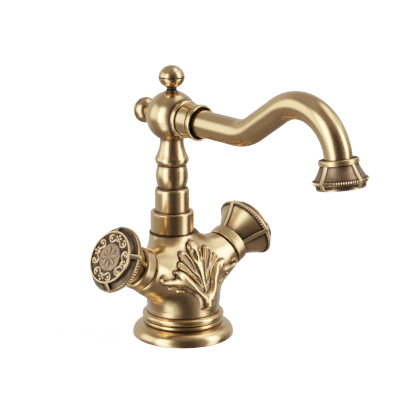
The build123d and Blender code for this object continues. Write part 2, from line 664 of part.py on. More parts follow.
def spout_socket():
    """Turned socket: tenon, ring, barrel between two grooves, and a rim with a recess round the tube."""
    low = flat_at(SOCKET_SEAT_R)
    ring_top = low + SOCKET_RING_H
    barrel_low = ring_top + SOCKET_GROOVE_W
    barrel_top = barrel_low + SOCKET_BARREL_H
    rim_low = barrel_top + SOCKET_GROOVE_W
    end = rim_low + SOCKET_RIM_H
    edge = SOCKET_RIM_R - SOCKET_R
    socket = turned(
        (0, low - SOCKET_TENON_L), (SOCKET_TENON_R, low - SOCKET_TENON_L), (SOCKET_TENON_R, low),
        (SOCKET_SEAT_R, low), ((SOCKET_RING_R, (low + ring_top) / 2), (SOCKET_SEAT_R, ring_top)),
        (SOCKET_GROOVE_R, ring_top), (SOCKET_GROOVE_R, barrel_low),
        (SOCKET_R, barrel_low), (SOCKET_R, barrel_top),
        (SOCKET_GROOVE_R, barrel_top), (SOCKET_GROOVE_R, rim_low),
        (SOCKET_R, rim_low), (SOCKET_RIM_R, rim_low + edge), (SOCKET_RIM_R, end - edge), (SOCKET_R, end), (0, end))
    socket -= rod(COLUMN_BORE_R, low - SOCKET_TENON_L, end - TUBE_SEAT_L)
    socket -= rod(TUBE_R + SEAT_FIT, end - TUBE_SEAT_L, end)
    return socket - rod(SOCKET_RECESS_R, end - SOCKET_RECESS_D, end)


def socket_end():
    """Distance from the ball's centre to the socket's outer end."""
    return flat_at(SOCKET_SEAT_R) + SOCKET_RING_H + SOCKET_BARREL_H + SOCKET_RIM_H + 2 * SOCKET_GROOVE_W


def spout_route():
    """Centre line of the spout in its upright plane, X to the front and Y up from the ball's centre."""
    ahead = Vector(cos(radians(SPOUT_DIP)), -sin(radians(SPOUT_DIP)))
    start = ahead * (socket_end() - TUBE_SEAT_L)
    run = Line(start, start + ahead * (TUBE_SEAT_L + SPOUT_RUN))
    rise = JernArc(run @ 1, run % 1, SPOUT_RISE_R, SPOUT_DIP + SPOUT_RISE_ANGLE)
    climb = Line(rise @ 1, (rise @ 1) + (rise % 1) * SPOUT_CLIMB)
    crest = JernArc(climb @ 1, climb % 1, SPOUT_CREST_R, -SPOUT_RISE_ANGLE - SPOUT_DROP_ANGLE)
    drop = Line(crest @ 1, (crest @ 1) + (crest % 1) * TUBE_IN_NOZZLE)
    return [run, rise, climb, crest, drop]


SPOUT_PLANE = Plane(origin=(0, COLUMN_SETBACK, BALL_Z), x_dir=(0, -1, 0), z_dir=(-1, 0, 0))


def nozzle_frame():
    """Frame at the top of the nozzle's ring, with Z along the spout's end, outwards."""
    drop = spout_route()[-1]
    start = SPOUT_PLANE.from_local_coords(drop @ 0)
    end = SPOUT_PLANE.from_local_coords(drop @ 1)
    return Plane(origin=start, x_dir=(1, 0, 0), z_dir=end - start)


def spout_tube():
    """Bent tube of the spout, from its seat in the socket to its seat in the nozzle."""
    route = Wire(SPOUT_PLANE * piece.edge() for piece in spout_route())
    section = Plane(origin=route @ 0, z_dir=route % 0)
    outside = sweep(section * Circle(TUBE_R), path=route)
    return outside - sweep(section * Circle(TUBE_R - TUBE_WALL), path=route)


def nozzle_bell():
    """Ribbed outlet bell with a seat for the tube, a water passage and a cup for the aerator."""
    bell = ribbed_bell(
        NOZZLE_RING_R, NOZZLE_RING_H, NOZZLE_NECK_R, NOZZLE_FLARE_H, NOZZLE_MOUTH_R, NOZZLE_BEAD_R, NOZZLE_RIM_H,
        NOZZLE_RIM_R, NOZZLE_RIB_W, NOZZLE_RIB_H, NOZZLE_BEADS)
    bell -= rod(TUBE_R + SEAT_FIT, 0, TUBE_IN_NOZZLE)
    bell -= rod(TUBE_R - TUBE_WALL, 0, NOZZLE_H)
    return bell - rod(AERATOR_R + SEAT_FIT, aerator_low() - AERATOR_GASKET_T, NOZZLE_H)


def aerator_low():
    """Distance from the nozzle's top to the aerator housing."""
    return TUBE_IN_NOZZLE + TUBE_WALL + AERATOR_GASKET_T


def aerator_gasket():
    """Rubber ring between the aerator and the nozzle."""
    return ring(AERATOR_GASKET_BORE_R, AERATOR_R, aerator_low() - AERATOR_GASKET_T, aerator_low())


def aerator_housing():
    """Ring that screws into the nozzle and carries the screen on a ledge."""
    low = aerator_low()
    housing = ring(AERATOR_R - AERATOR_WALL, AERATOR_R, low, low + AERATOR_H)
    ledge_low = low + SCREEN_T
    return housing + ring(AERATOR_R - 2 * AERATOR_WALL, AERATOR_R, ledge_low, ledge_low + AERATOR_WALL)


def aerator_screen():
    """Perforated disc with holes on a triangular grid."""
    low = aerator_low()
    screen_r = AERATOR_R - AERATOR_WALL - SEAT_FIT
    screen = rod(screen_r, low, low + SCREEN_T)
    holes = []
    reach = int(screen_r / SCREEN_PITCH) + 1
    for row in range(-reach, reach + 1):
        for column in range(-reach, reach + 1):
            x = SCREEN_PITCH * (column + row / 2)
            y = SCREEN_PITCH * row * sqrt(3) / 2
            if sqrt(x ** 2 + y ** 2) < screen_r - AERATOR_WALL - SCREEN_HOLE_R:
                holes.append(Pos(x, y, 0) * rod(SCREEN_HOLE_R, low, low + SCREEN_T))
    return screen - holes


def valve_nodes(side, sign):
    """Pieces of one valve and its handle, placed on their arm."""
    frame = arm_frame(sign)
    seat = -SEAT_DEPTH
    turn = Rot(0, 0, HANDLE_REST_TURN[side])
    pieces = {
        "seat_seal": ring(SEAL_BORE_R, HEADWORK_R, seat, seat + SEAL_T),
        "fixed_disc": valve_disc(seat + SEAL_T, 0),
        "headwork": headwork(),
        "headwork_oring": headwork_oring(),
        "moving_disc": valve_disc(seat + SEAL_T + DISC_T + LAP_GAP, 90),
        "spindle": spindle(),
        "handle": turn * handle_bell(),
        "handle_screw": handle_screw(),
        "handle_cap": turn * handle_cap()}
    return {f"{name}_{side}": frame * piece for name, piece in pieces.items()}


column_axis = Pos(0, COLUMN_SETBACK, 0)
nozzle = nozzle_frame()
nodes = {
    "base_flange": base_flange(),
    "base_gasket": ring(GASKET_IN_R, GASKET_IN_R + GASKET_W, 0, GASKET_H),
    "mixer_body": mixer_body(),
    "swivel_washer": column_axis * ring(NECK_BORE_R, COLLAR_R - COLLAR_WALL - RUN_GAP, NECK_TOP_Z,
                                        NECK_TOP_Z + WASHER_T),
    "collar_nut": column_axis * collar_nut(),
    "spout_column": column_axis * spout_column(),
    "spigot_orings": Compound([column_axis * oring for oring in spigot_orings()]),
    "hub_ball": hub_ball(),
    "top_finial": UP * finial(),
    "rear_finial": BACK * finial(),
    "spout_socket": AHEAD * spout_socket(),
    "spout_tube": spout_tube(),
    "nozzle_bell": nozzle * nozzle_bell(),
    "aerator_gasket": nozzle * aerator_gasket(),
    "aerator_housing": nozzle * aerator_housing(),
    "aerator_screen": nozzle * aerator_screen()}
for side_name, side_sign in SIDES.items():
    nodes |= valve_nodes(side_name, side_sign)

os.makedirs("parts", exist_ok=True)
for node, solid in nodes.items():
    export_step(solid, f"parts/{node}.step")
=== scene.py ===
"""Looks of a two-handle basin mixer in antique brass, built on its packed construction.

Shapes are worked out in millimetres in the faucet's frame: the origin is the centre of the base on the deck,
+Z is up, the spout points to -Y and the hot handle is on the -X side. Finished meshes are in metres.
"""

import cmath
import json
import logging
import math
from dataclasses import dataclass, field, replace
from enum import Enum
from typing import Callable, Mapping, Sequence

import bmesh
import bpy
import numpy as np
from mathutils import Matrix, Vector


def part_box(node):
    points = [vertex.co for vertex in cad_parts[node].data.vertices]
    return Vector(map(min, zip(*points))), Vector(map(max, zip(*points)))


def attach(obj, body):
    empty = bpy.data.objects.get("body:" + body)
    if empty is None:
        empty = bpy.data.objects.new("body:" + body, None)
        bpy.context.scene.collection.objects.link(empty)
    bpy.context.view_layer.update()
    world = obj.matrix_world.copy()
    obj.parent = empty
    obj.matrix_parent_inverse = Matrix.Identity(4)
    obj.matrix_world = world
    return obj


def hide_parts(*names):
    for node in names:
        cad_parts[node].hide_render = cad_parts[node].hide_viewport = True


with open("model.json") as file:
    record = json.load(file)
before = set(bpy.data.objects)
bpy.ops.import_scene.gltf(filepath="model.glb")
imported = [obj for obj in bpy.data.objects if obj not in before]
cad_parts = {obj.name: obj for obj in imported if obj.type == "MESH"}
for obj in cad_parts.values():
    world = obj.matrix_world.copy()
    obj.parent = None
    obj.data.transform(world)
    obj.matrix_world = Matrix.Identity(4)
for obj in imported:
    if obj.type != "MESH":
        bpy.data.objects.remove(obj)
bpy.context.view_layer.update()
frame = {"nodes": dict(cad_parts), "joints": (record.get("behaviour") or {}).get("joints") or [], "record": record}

MM = 0.001
TO_FRONT = (0.0, -1.0, 0.0)
THRUST_GAP = 0.05
NO_DARKENING = 0.0001
TINY = 1e-9
log = logging.getLogger("basin_mixer")

Array = np.ndarray
Colour = tuple[float, float, float]
Point = tuple[float, float]
Spot = tuple[float, float, float]
Points = tuple[Point, ...]
Spots = tuple[Spot, ...]
Mesh = bpy.types.Mesh
Material = bpy.types.Material
Socket = bpy.types.NodeSocket


class Side(Enum):
    """The two valves of the faucet."""

    HOT = "hot"
    COLD = "cold"


class SocketKind(Enum):
    """Kinds of named input that a Geometry Nodes tree takes."""

    LENGTH = "NodeSocketFloat"
    COUNT = "NodeSocketInt"
    FINISH = "NodeSocketMaterial"


def smooth_step(low: float, high: float, value: Array) -> Array:
    """Rises from 0 at low to 1 at high with flat ends."""
    share = np.clip((value - low) / (high - low), 0.0, 1.0)
    return share * share * (3.0 - 2.0 * share)


def merged(first: Array, second: Array, reach: Array | float) -> Array:
    """Nearer of two distances, rounded off where they differ by less than a reach."""
    near = np.clip(reach - np.abs(first - second), 0, None) / reach
    return np.minimum(first, second) - near ** 2 * reach / 4


def curve_through(stations: Sequence[Sequence[float]], steps: int) -> Array:
    """Draws a smooth line through stations of any number of values.

    Args:
        stations: Points to pass through.
        steps: Points to make between two stations.

    Returns:
        The points of the line, one row each.
    """
    knots = np.array(stations, float)
    before = np.vstack([2 * knots[0] - knots[1], knots[:-1]])
    after = np.vstack([knots[1:], 2 * knots[-1] - knots[-2]])
    slopes = (after - before) / 2
    share = np.linspace(0, 1, steps, endpoint=False)[:, None]
    spans = []
    for here, there, leave, arrive in zip(knots[:-1], knots[1:], slopes[:-1], slopes[1:]):
        spans.append(
            here * (1 + 2 * share) * (1 - share) ** 2 + leave * share * (1 - share) ** 2
            + there * share ** 2 * (3 - 2 * share) + arrive * share ** 2 * (share - 1))
    return np.vstack(spans + [knots[-1:]])


def ease_between(places: Sequence[float], values: Sequence[float], where: Array, steps: int = 24) -> Array:
    """Reads a smooth curve through values at rising places, level beyond both ends."""
    line = curve_through(list(zip(places, values)), steps)
    return np.interp(where, line[:, 0], line[:, 1])


def skin_over(lengths: Sequence[int], loop: bool = False) -> list[tuple[int, ...]]:
    """Joins rings of vertices, numbered one ring after another, by faces.

    Args:
        lengths: Vertices of each ring, the same for all apart from poles, which have one.
        loop: Whether the last ring meets the first.

    Returns:
        Vertex numbers of each face, outwards where rings turn counterclockwise about the way they follow.
    """
    sides = max(lengths)
    rows = []
    start = 0
    for length in lengths:
        rows.append([start] * sides if length == 1 else list(range(start, start + sides)))
        start += length
    faces = []
    for low, high in zip(rows, rows[1:] + rows[:1] if loop else rows[1:]):
        for step in range(sides):
            beside = (step + 1) % sides
            corners = (low[step], low[beside], high[beside], high[step])
            faces.append(tuple(dict.fromkeys(corners)))
    return faces


class Wiring:
    """Adds nodes to a tree and joins them."""

    def __init__(self, tree: bpy.types.NodeTree) -> None:
        """Starts on a tree."""
        self.tree = tree

    def feed(self, node: bpy.types.Node, inputs: Mapping[str | int, object]) -> None:
        """Fills a node's sockets.

        Args:
            node: The node.
            inputs: What goes into its sockets, another node's socket or a value.
        """
        for key, value in inputs.items():
            if isinstance(value, Socket):
                self.tree.links.new(value, node.inputs[key])
            else:
                node.inputs[key].default_value = value

    def add(
            self, kind: str, inputs: Mapping[str | int, object] | None = None,
            **settings: object) -> bpy.types.Node:
        """Adds one node.

        Args:
            kind: Blender's name for the kind of node.
            inputs: What goes into its sockets, another node's socket or a value.
            **settings: Values of the node's own properties.

        Returns:
            The new node.
        """
        node = self.tree.nodes.new(kind)
        for key, value in settings.items():
            setattr(node, key, value)
        self.feed(node, inputs or {})
        return node

    def math(self, operation: str, *terms: object) -> Socket:
        """Adds a sum on numbers and returns its result."""
        return self.add("ShaderNodeMath", dict(enumerate(terms)), operation=operation).outputs[0]

    def ramp(self, value: object, low: float, high: float, start: float = 0.0, end: float = 1.0) -> Socket:
        """Rises softly from start at low to end at high and returns the result."""
        return self.add("ShaderNodeMapRange", {
            "Value": value, "From Min": low, "From Max": high, "To Min": start, "To Max": end},
            interpolation_type="SMOOTHSTEP").outputs[0]

    def blend(self, share: object, first: Colour | Socket, second: Colour | Socket) -> Socket:
        """Mixes two colours and returns the result."""
        pair = (colour if isinstance(colour, Socket) else (*colour, 1.0) for colour in (first, second))
        return self.add("ShaderNodeMix", {0: share, **dict(zip((6, 7), pair))}, data_type="RGBA").outputs[2]

    def noise(self, place: Socket, scale: float, detail: float, roughness: float = 0.5) -> Socket:
        """Adds a cloudy pattern and returns its value."""
        return self.add("ShaderNodeTexNoise", {
            "Vector": place, "Scale": scale, "Detail": detail, "Roughness": roughness}).outputs["Fac"]

    def bump(self, height: Socket, strength: float, depth: float, **more: Socket) -> Socket:
        """Adds a bump of a depth in millimetres and returns its normal."""
        return self.add("ShaderNodeBump", {
            "Height": height, "Strength": strength, "Distance": depth * MM, **more}).outputs[0]


def new_material(name: str) -> tuple[Material, Wiring, bpy.types.Node]:
    """Starts a node material.

    Args:
        name: Name of the material.

    Returns:
        The material, the wiring of its tree and its shader.
    """
    material = bpy.data.materials.new(name)
    material.use_nodes = True
    return material, Wiring(material.node_tree), material.node_tree.nodes["Principled BSDF"]


class Recipe(Wiring):
    """A Geometry Nodes tree with named inputs that makes a plain mesh from a source mesh."""

    def __init__(self, name: str, inputs: Mapping[str, SocketKind]) -> None:
        """Makes an empty tree.

        Args:
            name: Name of the tree.
            inputs: Kind of each named input besides the finish.
        """
        super().__init__(bpy.data.node_groups.new(name, "GeometryNodeTree"))
        face = self.tree.interface
        face.new_socket("Geometry", in_out="INPUT", socket_type="NodeSocketGeometry")
        self.keys = {
            label: face.new_socket(label, in_out="INPUT", socket_type=kind.value).identifier
            for label, kind in {**inputs, "Finish": SocketKind.FINISH}.items()}
        face.new_socket("Geometry", in_out="OUTPUT", socket_type="NodeSocketGeometry")
        self.given = self.add("NodeGroupInput").outputs
        self.end = self.add("NodeGroupOutput")

    def mark(self, shape: Socket, name: str, value: Socket, kind: str = "FLOAT") -> Socket:
        """Stores a named attribute on a shape and returns the shape."""
        return self.add("GeometryNodeStoreNamedAttribute", {
            "Geometry": shape, "Name": name, "Value": value}, data_type=kind).outputs[0]

    def shade_low(self, shape: Socket, height: Socket | float) -> Socket:
        """Stores a darkening, patina and painted shade where the piece stands, that fades out from the ground up.

        Args:
            shape: The shape.
            height: Height at which the darkening ends.

        Returns:
            The shape with its patina.
        """
        place = self.add("GeometryNodeInputPosition").outputs[0]
        level = self.add("ShaderNodeSeparateXYZ", {0: place}).outputs["Z"]
        low = self.add("ShaderNodeMapRange", {
            "Value": level, "From Min": 0.0, "From Max": height, "To Min": 1.0, "To Max": 0.0}).outputs[0]
        return self.mark(shape, "patina", low)

    def close(self, shape: Socket) -> None:
        """Ends the tree with real geometry, smooth shading and the finish.

        Args:
            shape: What the tree has made.
        """
        real = self.add("GeometryNodeRealizeInstances", {"Geometry": shape}).outputs[0]
        smooth = self.add("GeometryNodeSetShadeSmooth", {0: real}).outputs[0]
        dressed = self.add("GeometryNodeSetMaterial", {"Geometry": smooth, "Material": self.given["Finish"]})
        self.feed(self.end, {0: dressed.outputs[0]})

    def cook(self, source: Mesh, values: Mapping[str, object], name: str) -> Mesh:
        """Runs the tree on a source mesh.

        Args:
            source: The mesh that goes into the tree.
            values: Value of each named input.
            name: Name of the new mesh.

        Returns:
            A plain mesh with no modifier.
        """
        holder = bpy.data.objects.new(name + "_source", source)
        bpy.context.scene.collection.objects.link(holder)
        modifier = holder.modifiers.new("recipe", "NODES")
        modifier.node_group = self.tree
        for label, value in values.items():
            modifier[self.keys[label]] = value
        depsgraph = bpy.context.evaluated_depsgraph_get()
        mesh = bpy.data.meshes.new_from_object(holder.evaluated_get(depsgraph), depsgraph=depsgraph)
        mesh.name = name
        bpy.data.objects.remove(holder)
        bpy.data.meshes.remove(source)
        return mesh


class RoundPattern(Recipe):
    """Repeats a source mesh evenly round the Z axis."""

    def __init__(self) -> None:
        """Builds the tree."""
        super().__init__("round_pattern", {"Count": SocketKind.COUNT, "First Angle": SocketKind.LENGTH})
        seats = self.add("GeometryNodeMeshLine", {
            "Count": self.given["Count"], "Offset": (0.0, 0.0, 0.0)}).outputs[0]
        step = self.math("DIVIDE", math.tau, self.given["Count"])
        index = self.add("GeometryNodeInputIndex").outputs[0]
        angle = self.math("ADD", self.math("MULTIPLY", index, step), self.given["First Angle"])
        turn = self.add("ShaderNodeCombineXYZ", {"Z": angle}).outputs[0]
        self.close(self.add("GeometryNodeInstanceOnPoints", {
            "Points": seats, "Instance": self.given["Geometry"], "Rotation": turn}).outputs[0])


class SweptTube(Recipe):
    """Sweeps a round tube along the edges of a source mesh, with brush lines round it and patina and painted shade
    below.
    """

    def __init__(self) -> None:
        """Builds the tree."""
        super().__init__("swept_tube", {
            "Radius": SocketKind.LENGTH, "Sides": SocketKind.COUNT, "Patina Height": SocketKind.LENGTH})
        line = self.add("GeometryNodeMeshToCurve", {0: self.given["Geometry"]}).outputs[0]
        run = self.add("GeometryNodeSplineParameter").outputs["Length"]
        brush = self.add("ShaderNodeCombineXYZ", {"X": self.math("DIVIDE", run, MM)}).outputs[0]
        section = self.add("GeometryNodeCurvePrimitiveCircle", {
            "Resolution": self.given["Sides"], "Radius": self.given["Radius"]}).outputs[0]
        tube = self.add("GeometryNodeCurveToMesh", {
            "Curve": self.mark(line, "brush", brush, "FLOAT_VECTOR"), "Profile Curve": section,
            "Fill Caps": True}).outputs[0]
        self.close(self.shade_low(tube, self.given["Patina Height"]))


class BerryCluster(Recipe):
    """Sets a round berry on each vertex of a source mesh, as large as its size attribute says."""

    def __init__(self, darkening_height: float = 0.6) -> None:
        """Builds the tree, with patina and painted shade up to a share of a berry's radius."""
        super().__init__("berry_cluster", {"Segments": SocketKind.COUNT, "Rings": SocketKind.COUNT})
        berry = self.add("GeometryNodeMeshUVSphere", {
            "Segments": self.given["Segments"], "Rings": self.given["Rings"], "Radius": 1.0}).outputs[0]
        size = self.add("GeometryNodeInputNamedAttribute", {"Name": "size"}, data_type="FLOAT").outputs[0]
        self.close(self.add("GeometryNodeInstanceOnPoints", {
            "Points": self.given["Geometry"], "Instance": self.shade_low(berry, darkening_height),
            "Scale": size}).outputs[0])


@dataclass(frozen=True)
class AntiqueBrass:
    """Brushed brass under thin lacquer, rubbed bright on high places, darkened with patina and painted shade.

    A piece's patina attribute says how dark it is, patina in recesses and painted shade in gaps and joints
    together, and its brush attribute which way its lines run. A ramp is the stretch of that darkness over which
    the metal turns brown or black. Depths are in millimetres.
    """

    name: str
    metal: Colour = (0.715, 0.468, 0.212)
    rubbed: Colour = (0.79, 0.538, 0.255)
    brown: Colour = (0.19, 0.115, 0.07)
    black: Colour = (0.020, 0.015, 0.011)
    brown_ramp: Point = (0.05, 0.6)
    black_ramp: Point = (0.5, 1.0)
    roughness: float = 0.30
    patina_roughness: float = 0.14
    black_roughness: float = 0.2
    line_strength: float = 0.10
    line_depth: float = 0.06
    line_scale: float = 2.2
    line_contrast: float = 1.2
    line_roughness: float = 0.08
    cloud: float = 0.40
    cloud_scale: float = 260.0
    pit_strength: float = 0.0
    pit_depth: float = 0.25
    pit_scale: float = 1500.0
    coat: float = 0.25
    coat_roughness: float = 0.14

    def make(self) -> Material:
        """Builds the node material.

        Returns:
            The material.
        """
        material, wiring, shader = new_material(self.name)
        dark = wiring.add("ShaderNodeAttribute", attribute_name="patina").outputs["Fac"]
        brush = wiring.add("ShaderNodeAttribute", attribute_name="brush").outputs["Vector"]
        place = wiring.add("ShaderNodeTexCoord").outputs["Object"]
        lines = wiring.noise(brush, self.line_scale, 3.0, 0.6)
        streak = wiring.math("SUBTRACT", lines, 0.5)
        drift = wiring.math("SUBTRACT", wiring.noise(place, self.cloud_scale, 4.0, 0.55), 0.5)
        amount = wiring.math("MULTIPLY_ADD", drift, self.cloud, dark)
        to_brown = wiring.ramp(amount, *self.brown_ramp)
        to_black = wiring.ramp(amount, *self.black_ramp)
        shine = wiring.math("MULTIPLY_ADD", streak, self.line_contrast, 0.5)
        colour = wiring.blend(to_brown, wiring.blend(shine, self.metal, self.rubbed), self.brown)
        matt = wiring.math("MULTIPLY_ADD", to_brown, self.patina_roughness, self.roughness)
        matt = wiring.math("MULTIPLY_ADD", to_black, self.black_roughness, matt)
        normal = wiring.bump(lines, self.line_strength, self.line_depth)
        if self.pit_strength:
            pits = wiring.add("ShaderNodeTexVoronoi", {"Vector": place, "Scale": self.pit_scale})
            normal = wiring.bump(pits.outputs["Distance"], self.pit_strength, self.pit_depth, Normal=normal)
        wiring.feed(shader, {
            "Base Color": wiring.blend(to_black, colour, self.black), "Metallic": 1.0, "Normal": normal,
            "Roughness": wiring.math("MULTIPLY_ADD", streak, self.line_roughness, matt),
            "Coat Weight": wiring.math("MULTIPLY_ADD", to_black, -self.coat, self.coat),
            "Coat Roughness": self.coat_roughness})
        return material


class Brass(Enum):
    """The brass of each kind of piece."""

    CAST = AntiqueBrass("cast_brass", roughness=0.26, line_strength=0.008, line_scale=1.6, cloud=0.16)
    TURNED = AntiqueBrass("turned_brass", roughness=0.22, line_strength=0.008, line_scale=3.0, cloud=0.08)
    TUBE = AntiqueBrass("tube_brass", roughness=0.22, line_strength=0.006, line_scale=2.0, cloud=0.08)
    HANDLE = AntiqueBrass(
        "handle_brass", brown=(0.25, 0.155, 0.10), roughness=0.30, patina_roughness=0.04, line_strength=0.03,
        cloud=0.44)
    BEADS = AntiqueBrass(
        "bead_brass", rubbed=(0.86, 0.62, 0.36), roughness=0.30, line_strength=0.02, cloud=0.20)
    RIBS = AntiqueBrass(
        "rib_brass", rubbed=(0.86, 0.62, 0.36), roughness=0.36, line_strength=0.02, cloud=0.12)
    MEDALLION = AntiqueBrass(
        "medallion_brass", metal=(0.60, 0.40, 0.21), brown=(0.26, 0.17, 0.11), roughness=0.34, cloud=0.40,
        pit_strength=0.2)


@dataclass(frozen=True)
class InnerFinish:
    """Plain finish of a piece inside the faucet, named for its slot, with slight mottling and grain."""

    name: str
    pale: Colour
    deep: Colour
    metallic: float
    roughness: float
    grain_scale: float
    grain_strength: float
    grain_depth: float = 0.1
    mottling: float = 0.2

    def make(self) -> Material:
        """Builds the node material.

        Returns:
            The material.
        """
        material, wiring, shader = new_material(self.name)
        place = wiring.add("ShaderNodeTexCoord").outputs["Object"]
        grain = wiring.noise(place, self.grain_scale, 5.0)
        wiring.feed(shader, {
            "Base Color": wiring.blend(grain, self.deep, self.pale), "Metallic": self.metallic,
            "Roughness": wiring.math("MULTIPLY_ADD", grain, self.mottling, self.roughness),
            "Normal": wiring.bump(grain, self.grain_strength, self.grain_depth)})
        return material


INNER_FINISHES = (
    InnerFinish("valve_brass", (0.16, 0.11, 0.06), (0.10, 0.065, 0.035), 1.0, 0.45, 900.0, 0.1),
    InnerFinish("aerator_brass", (0.40, 0.29, 0.15), (0.28, 0.19, 0.09), 1.0, 0.35, 700.0, 0.2),
    InnerFinish("screw_steel", (0.60, 0.60, 0.61), (0.48, 0.48, 0.50), 1.0, 0.25, 900.0, 0.1),
    InnerFinish("ceramic", (0.90, 0.89, 0.85), (0.84, 0.83, 0.79), 0.0, 0.15, 500.0, 0.02),
    InnerFinish("rubber", (0.05, 0.05, 0.05), (0.03, 0.03, 0.03), 0.0, 0.65, 1200.0, 0.3),
    InnerFinish("slip_plastic", (0.82, 0.82, 0.79), (0.74, 0.74, 0.71), 0.0, 0.4, 800.0, 0.05))


class Workshop:
    """The trees and finishes that the sub-assemblies share."""

    def __init__(self) -> None:
        """Makes them all."""
        self.pattern = RoundPattern()
        self.tube = SweptTube()
        self.cluster = BerryCluster()
        self.finish = {kind: kind.value.make() for kind in Brass}

    def repeat(self, source: Mesh, count: int, turn: float, finish: Brass, name: str) -> Mesh:
        """Repeats a mesh evenly round the Z axis from a turn in degrees and returns the new mesh."""
        return self.pattern.cook(source, {
            "Count": count, "First Angle": math.radians(turn), "Finish": self.finish[finish]}, name)


@dataclass(frozen=True)
class Place:
    """Where a piece stands: its origin in millimetres and its own Z and X axes."""

    origin: Spot = (0.0, 0.0, 0.0)
    z_axis: Spot = (0.0, 0.0, 1.0)
    x_axis: Spot = (1.0, 0.0, 0.0)

    def matrix(self) -> Matrix:
        """Makes the matrix of the place.

        Returns:
            What turns the piece's own millimetres into metres in the faucet's frame.
        """
        z = Vector(self.z_axis).normalized()
        x = Vector(self.x_axis)
        x = (x - z * x.dot(z)).normalized()
        turn = Matrix((x, z.cross(x), z)).transposed().to_4x4()
        return Matrix.Scale(MM, 4) @ Matrix.Translation(Vector(self.origin)) @ turn

    def metres(self) -> Matrix:
        """Turns metres in the piece's own frame into metres in the faucet's frame."""
        return self.matrix() @ Matrix.Scale(1 / MM, 4)

    def raised(self, height: float) -> "Place":
        """The same place moved along its own Z axis."""
        return replace(self, origin=tuple(Vector(self.origin) + Vector(self.z_axis).normalized() * height))


def write_mesh(
        name: str, points: Array, faces: Sequence[Sequence[int]], patina: Array, brush: Array,
        sharp_angle: float = 40.0) -> Mesh:
    """Makes a smooth-shaded mesh with its patina and brush attributes.

    Args:
        name: Name of the mesh.
        points: Places of the vertices.
        faces: Vertex numbers of each face, outwards.
        patina: Darkness of each vertex, from 0 to 1.
        brush: Place of each vertex in the brushed pattern, in millimetres across the lines.
        sharp_angle: Edges that turn by more degrees than this stay sharp.

    Returns:
        The new mesh.
    """
    mesh = bpy.data.meshes.new(name)
    mesh.from_pydata(points.tolist(), [], faces)
    dark = mesh.attributes.new("patina", "FLOAT", "POINT")
    dark.data.foreach_set("value", patina.astype(np.float32))
    lines = mesh.attributes.new("brush", "FLOAT_VECTOR", "POINT")
    lines.data.foreach_set("vector", brush.astype(np.float32).ravel())
    mesh.shade_smooth()
    mesh.set_sharp_from_angle(angle=math.radians(sharp_angle))
    return mesh


def line_mesh(name: str, points: Array) -> Mesh:
    """Makes a mesh of edges from each point to the next."""
    mesh = bpy.data.meshes.new(name)
    mesh.from_pydata(points.tolist(), [(n, n + 1) for n in range(len(points) - 1)], [])
    return mesh


def joined(name: str, *parts: Mesh) -> Mesh:
    """Joins meshes into a new one and removes them.

    Args:
        name: Name of the new mesh.
        *parts: The meshes.

    Returns:
        The new mesh.
    """
    shape = bmesh.new()
    for part in parts:
        shape.from_mesh(part)
        bpy.data.meshes.remove(part)
    mesh = bpy.data.meshes.new(name)
    shape.to_mesh(mesh)
    shape.free()
    return mesh


def cut_flat(shape: bmesh.types.BMesh, point: Vector, away: Vector) -> None:
    """Cuts a closed shape along a plane and closes the cut.

    Args:
        shape: The shape.
        point: A point on the plane.
        away: Direction of what is dropped.
    """
    everything = shape.verts[:] + shape.edges[:] + shape.faces[:]
    bmesh.ops.bisect_plane(shape, geom=everything, plane_co=point, plane_no=away, clear_outer=True)
    rim = [edge for edge in shape.edges if edge.is_boundary]
    bmesh.ops.holes_fill(shape, edges=rim, sides=0)


def show(
        mesh: Mesh, name: str, body: str, stands_for: Sequence[str] = (),
        finish: Material | None = None) -> bpy.types.Object:
    """Puts a finished mesh into the scene on a body of the frame.

    Args:
        mesh: The mesh, in its place in metres.
        name: Name of the piece.
        body: Body that the piece moves with.
        stands_for: Nodes of the frame that the piece replaces.
        finish: Material, unless the mesh has one.

    Returns:
        The new object.
    """
    if finish is not None:
        mesh.materials.clear()
        mesh.materials.append(finish)
    piece = bpy.data.objects.new(name, mesh)
    bpy.context.scene.collection.objects.link(piece)
    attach(piece, body)
    if stands_for:
        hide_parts(*stands_for)
    log.info("%s: %d faces on %s", name, len(mesh.polygons), body)
    return piece


@dataclass(frozen=True)
class Arc:
    """A round stretch of an outline: a point that it passes, its end and how many points to make."""

    through: Point
    end: Point
    steps: int = 12


Profile = tuple[Point | Arc, ...]


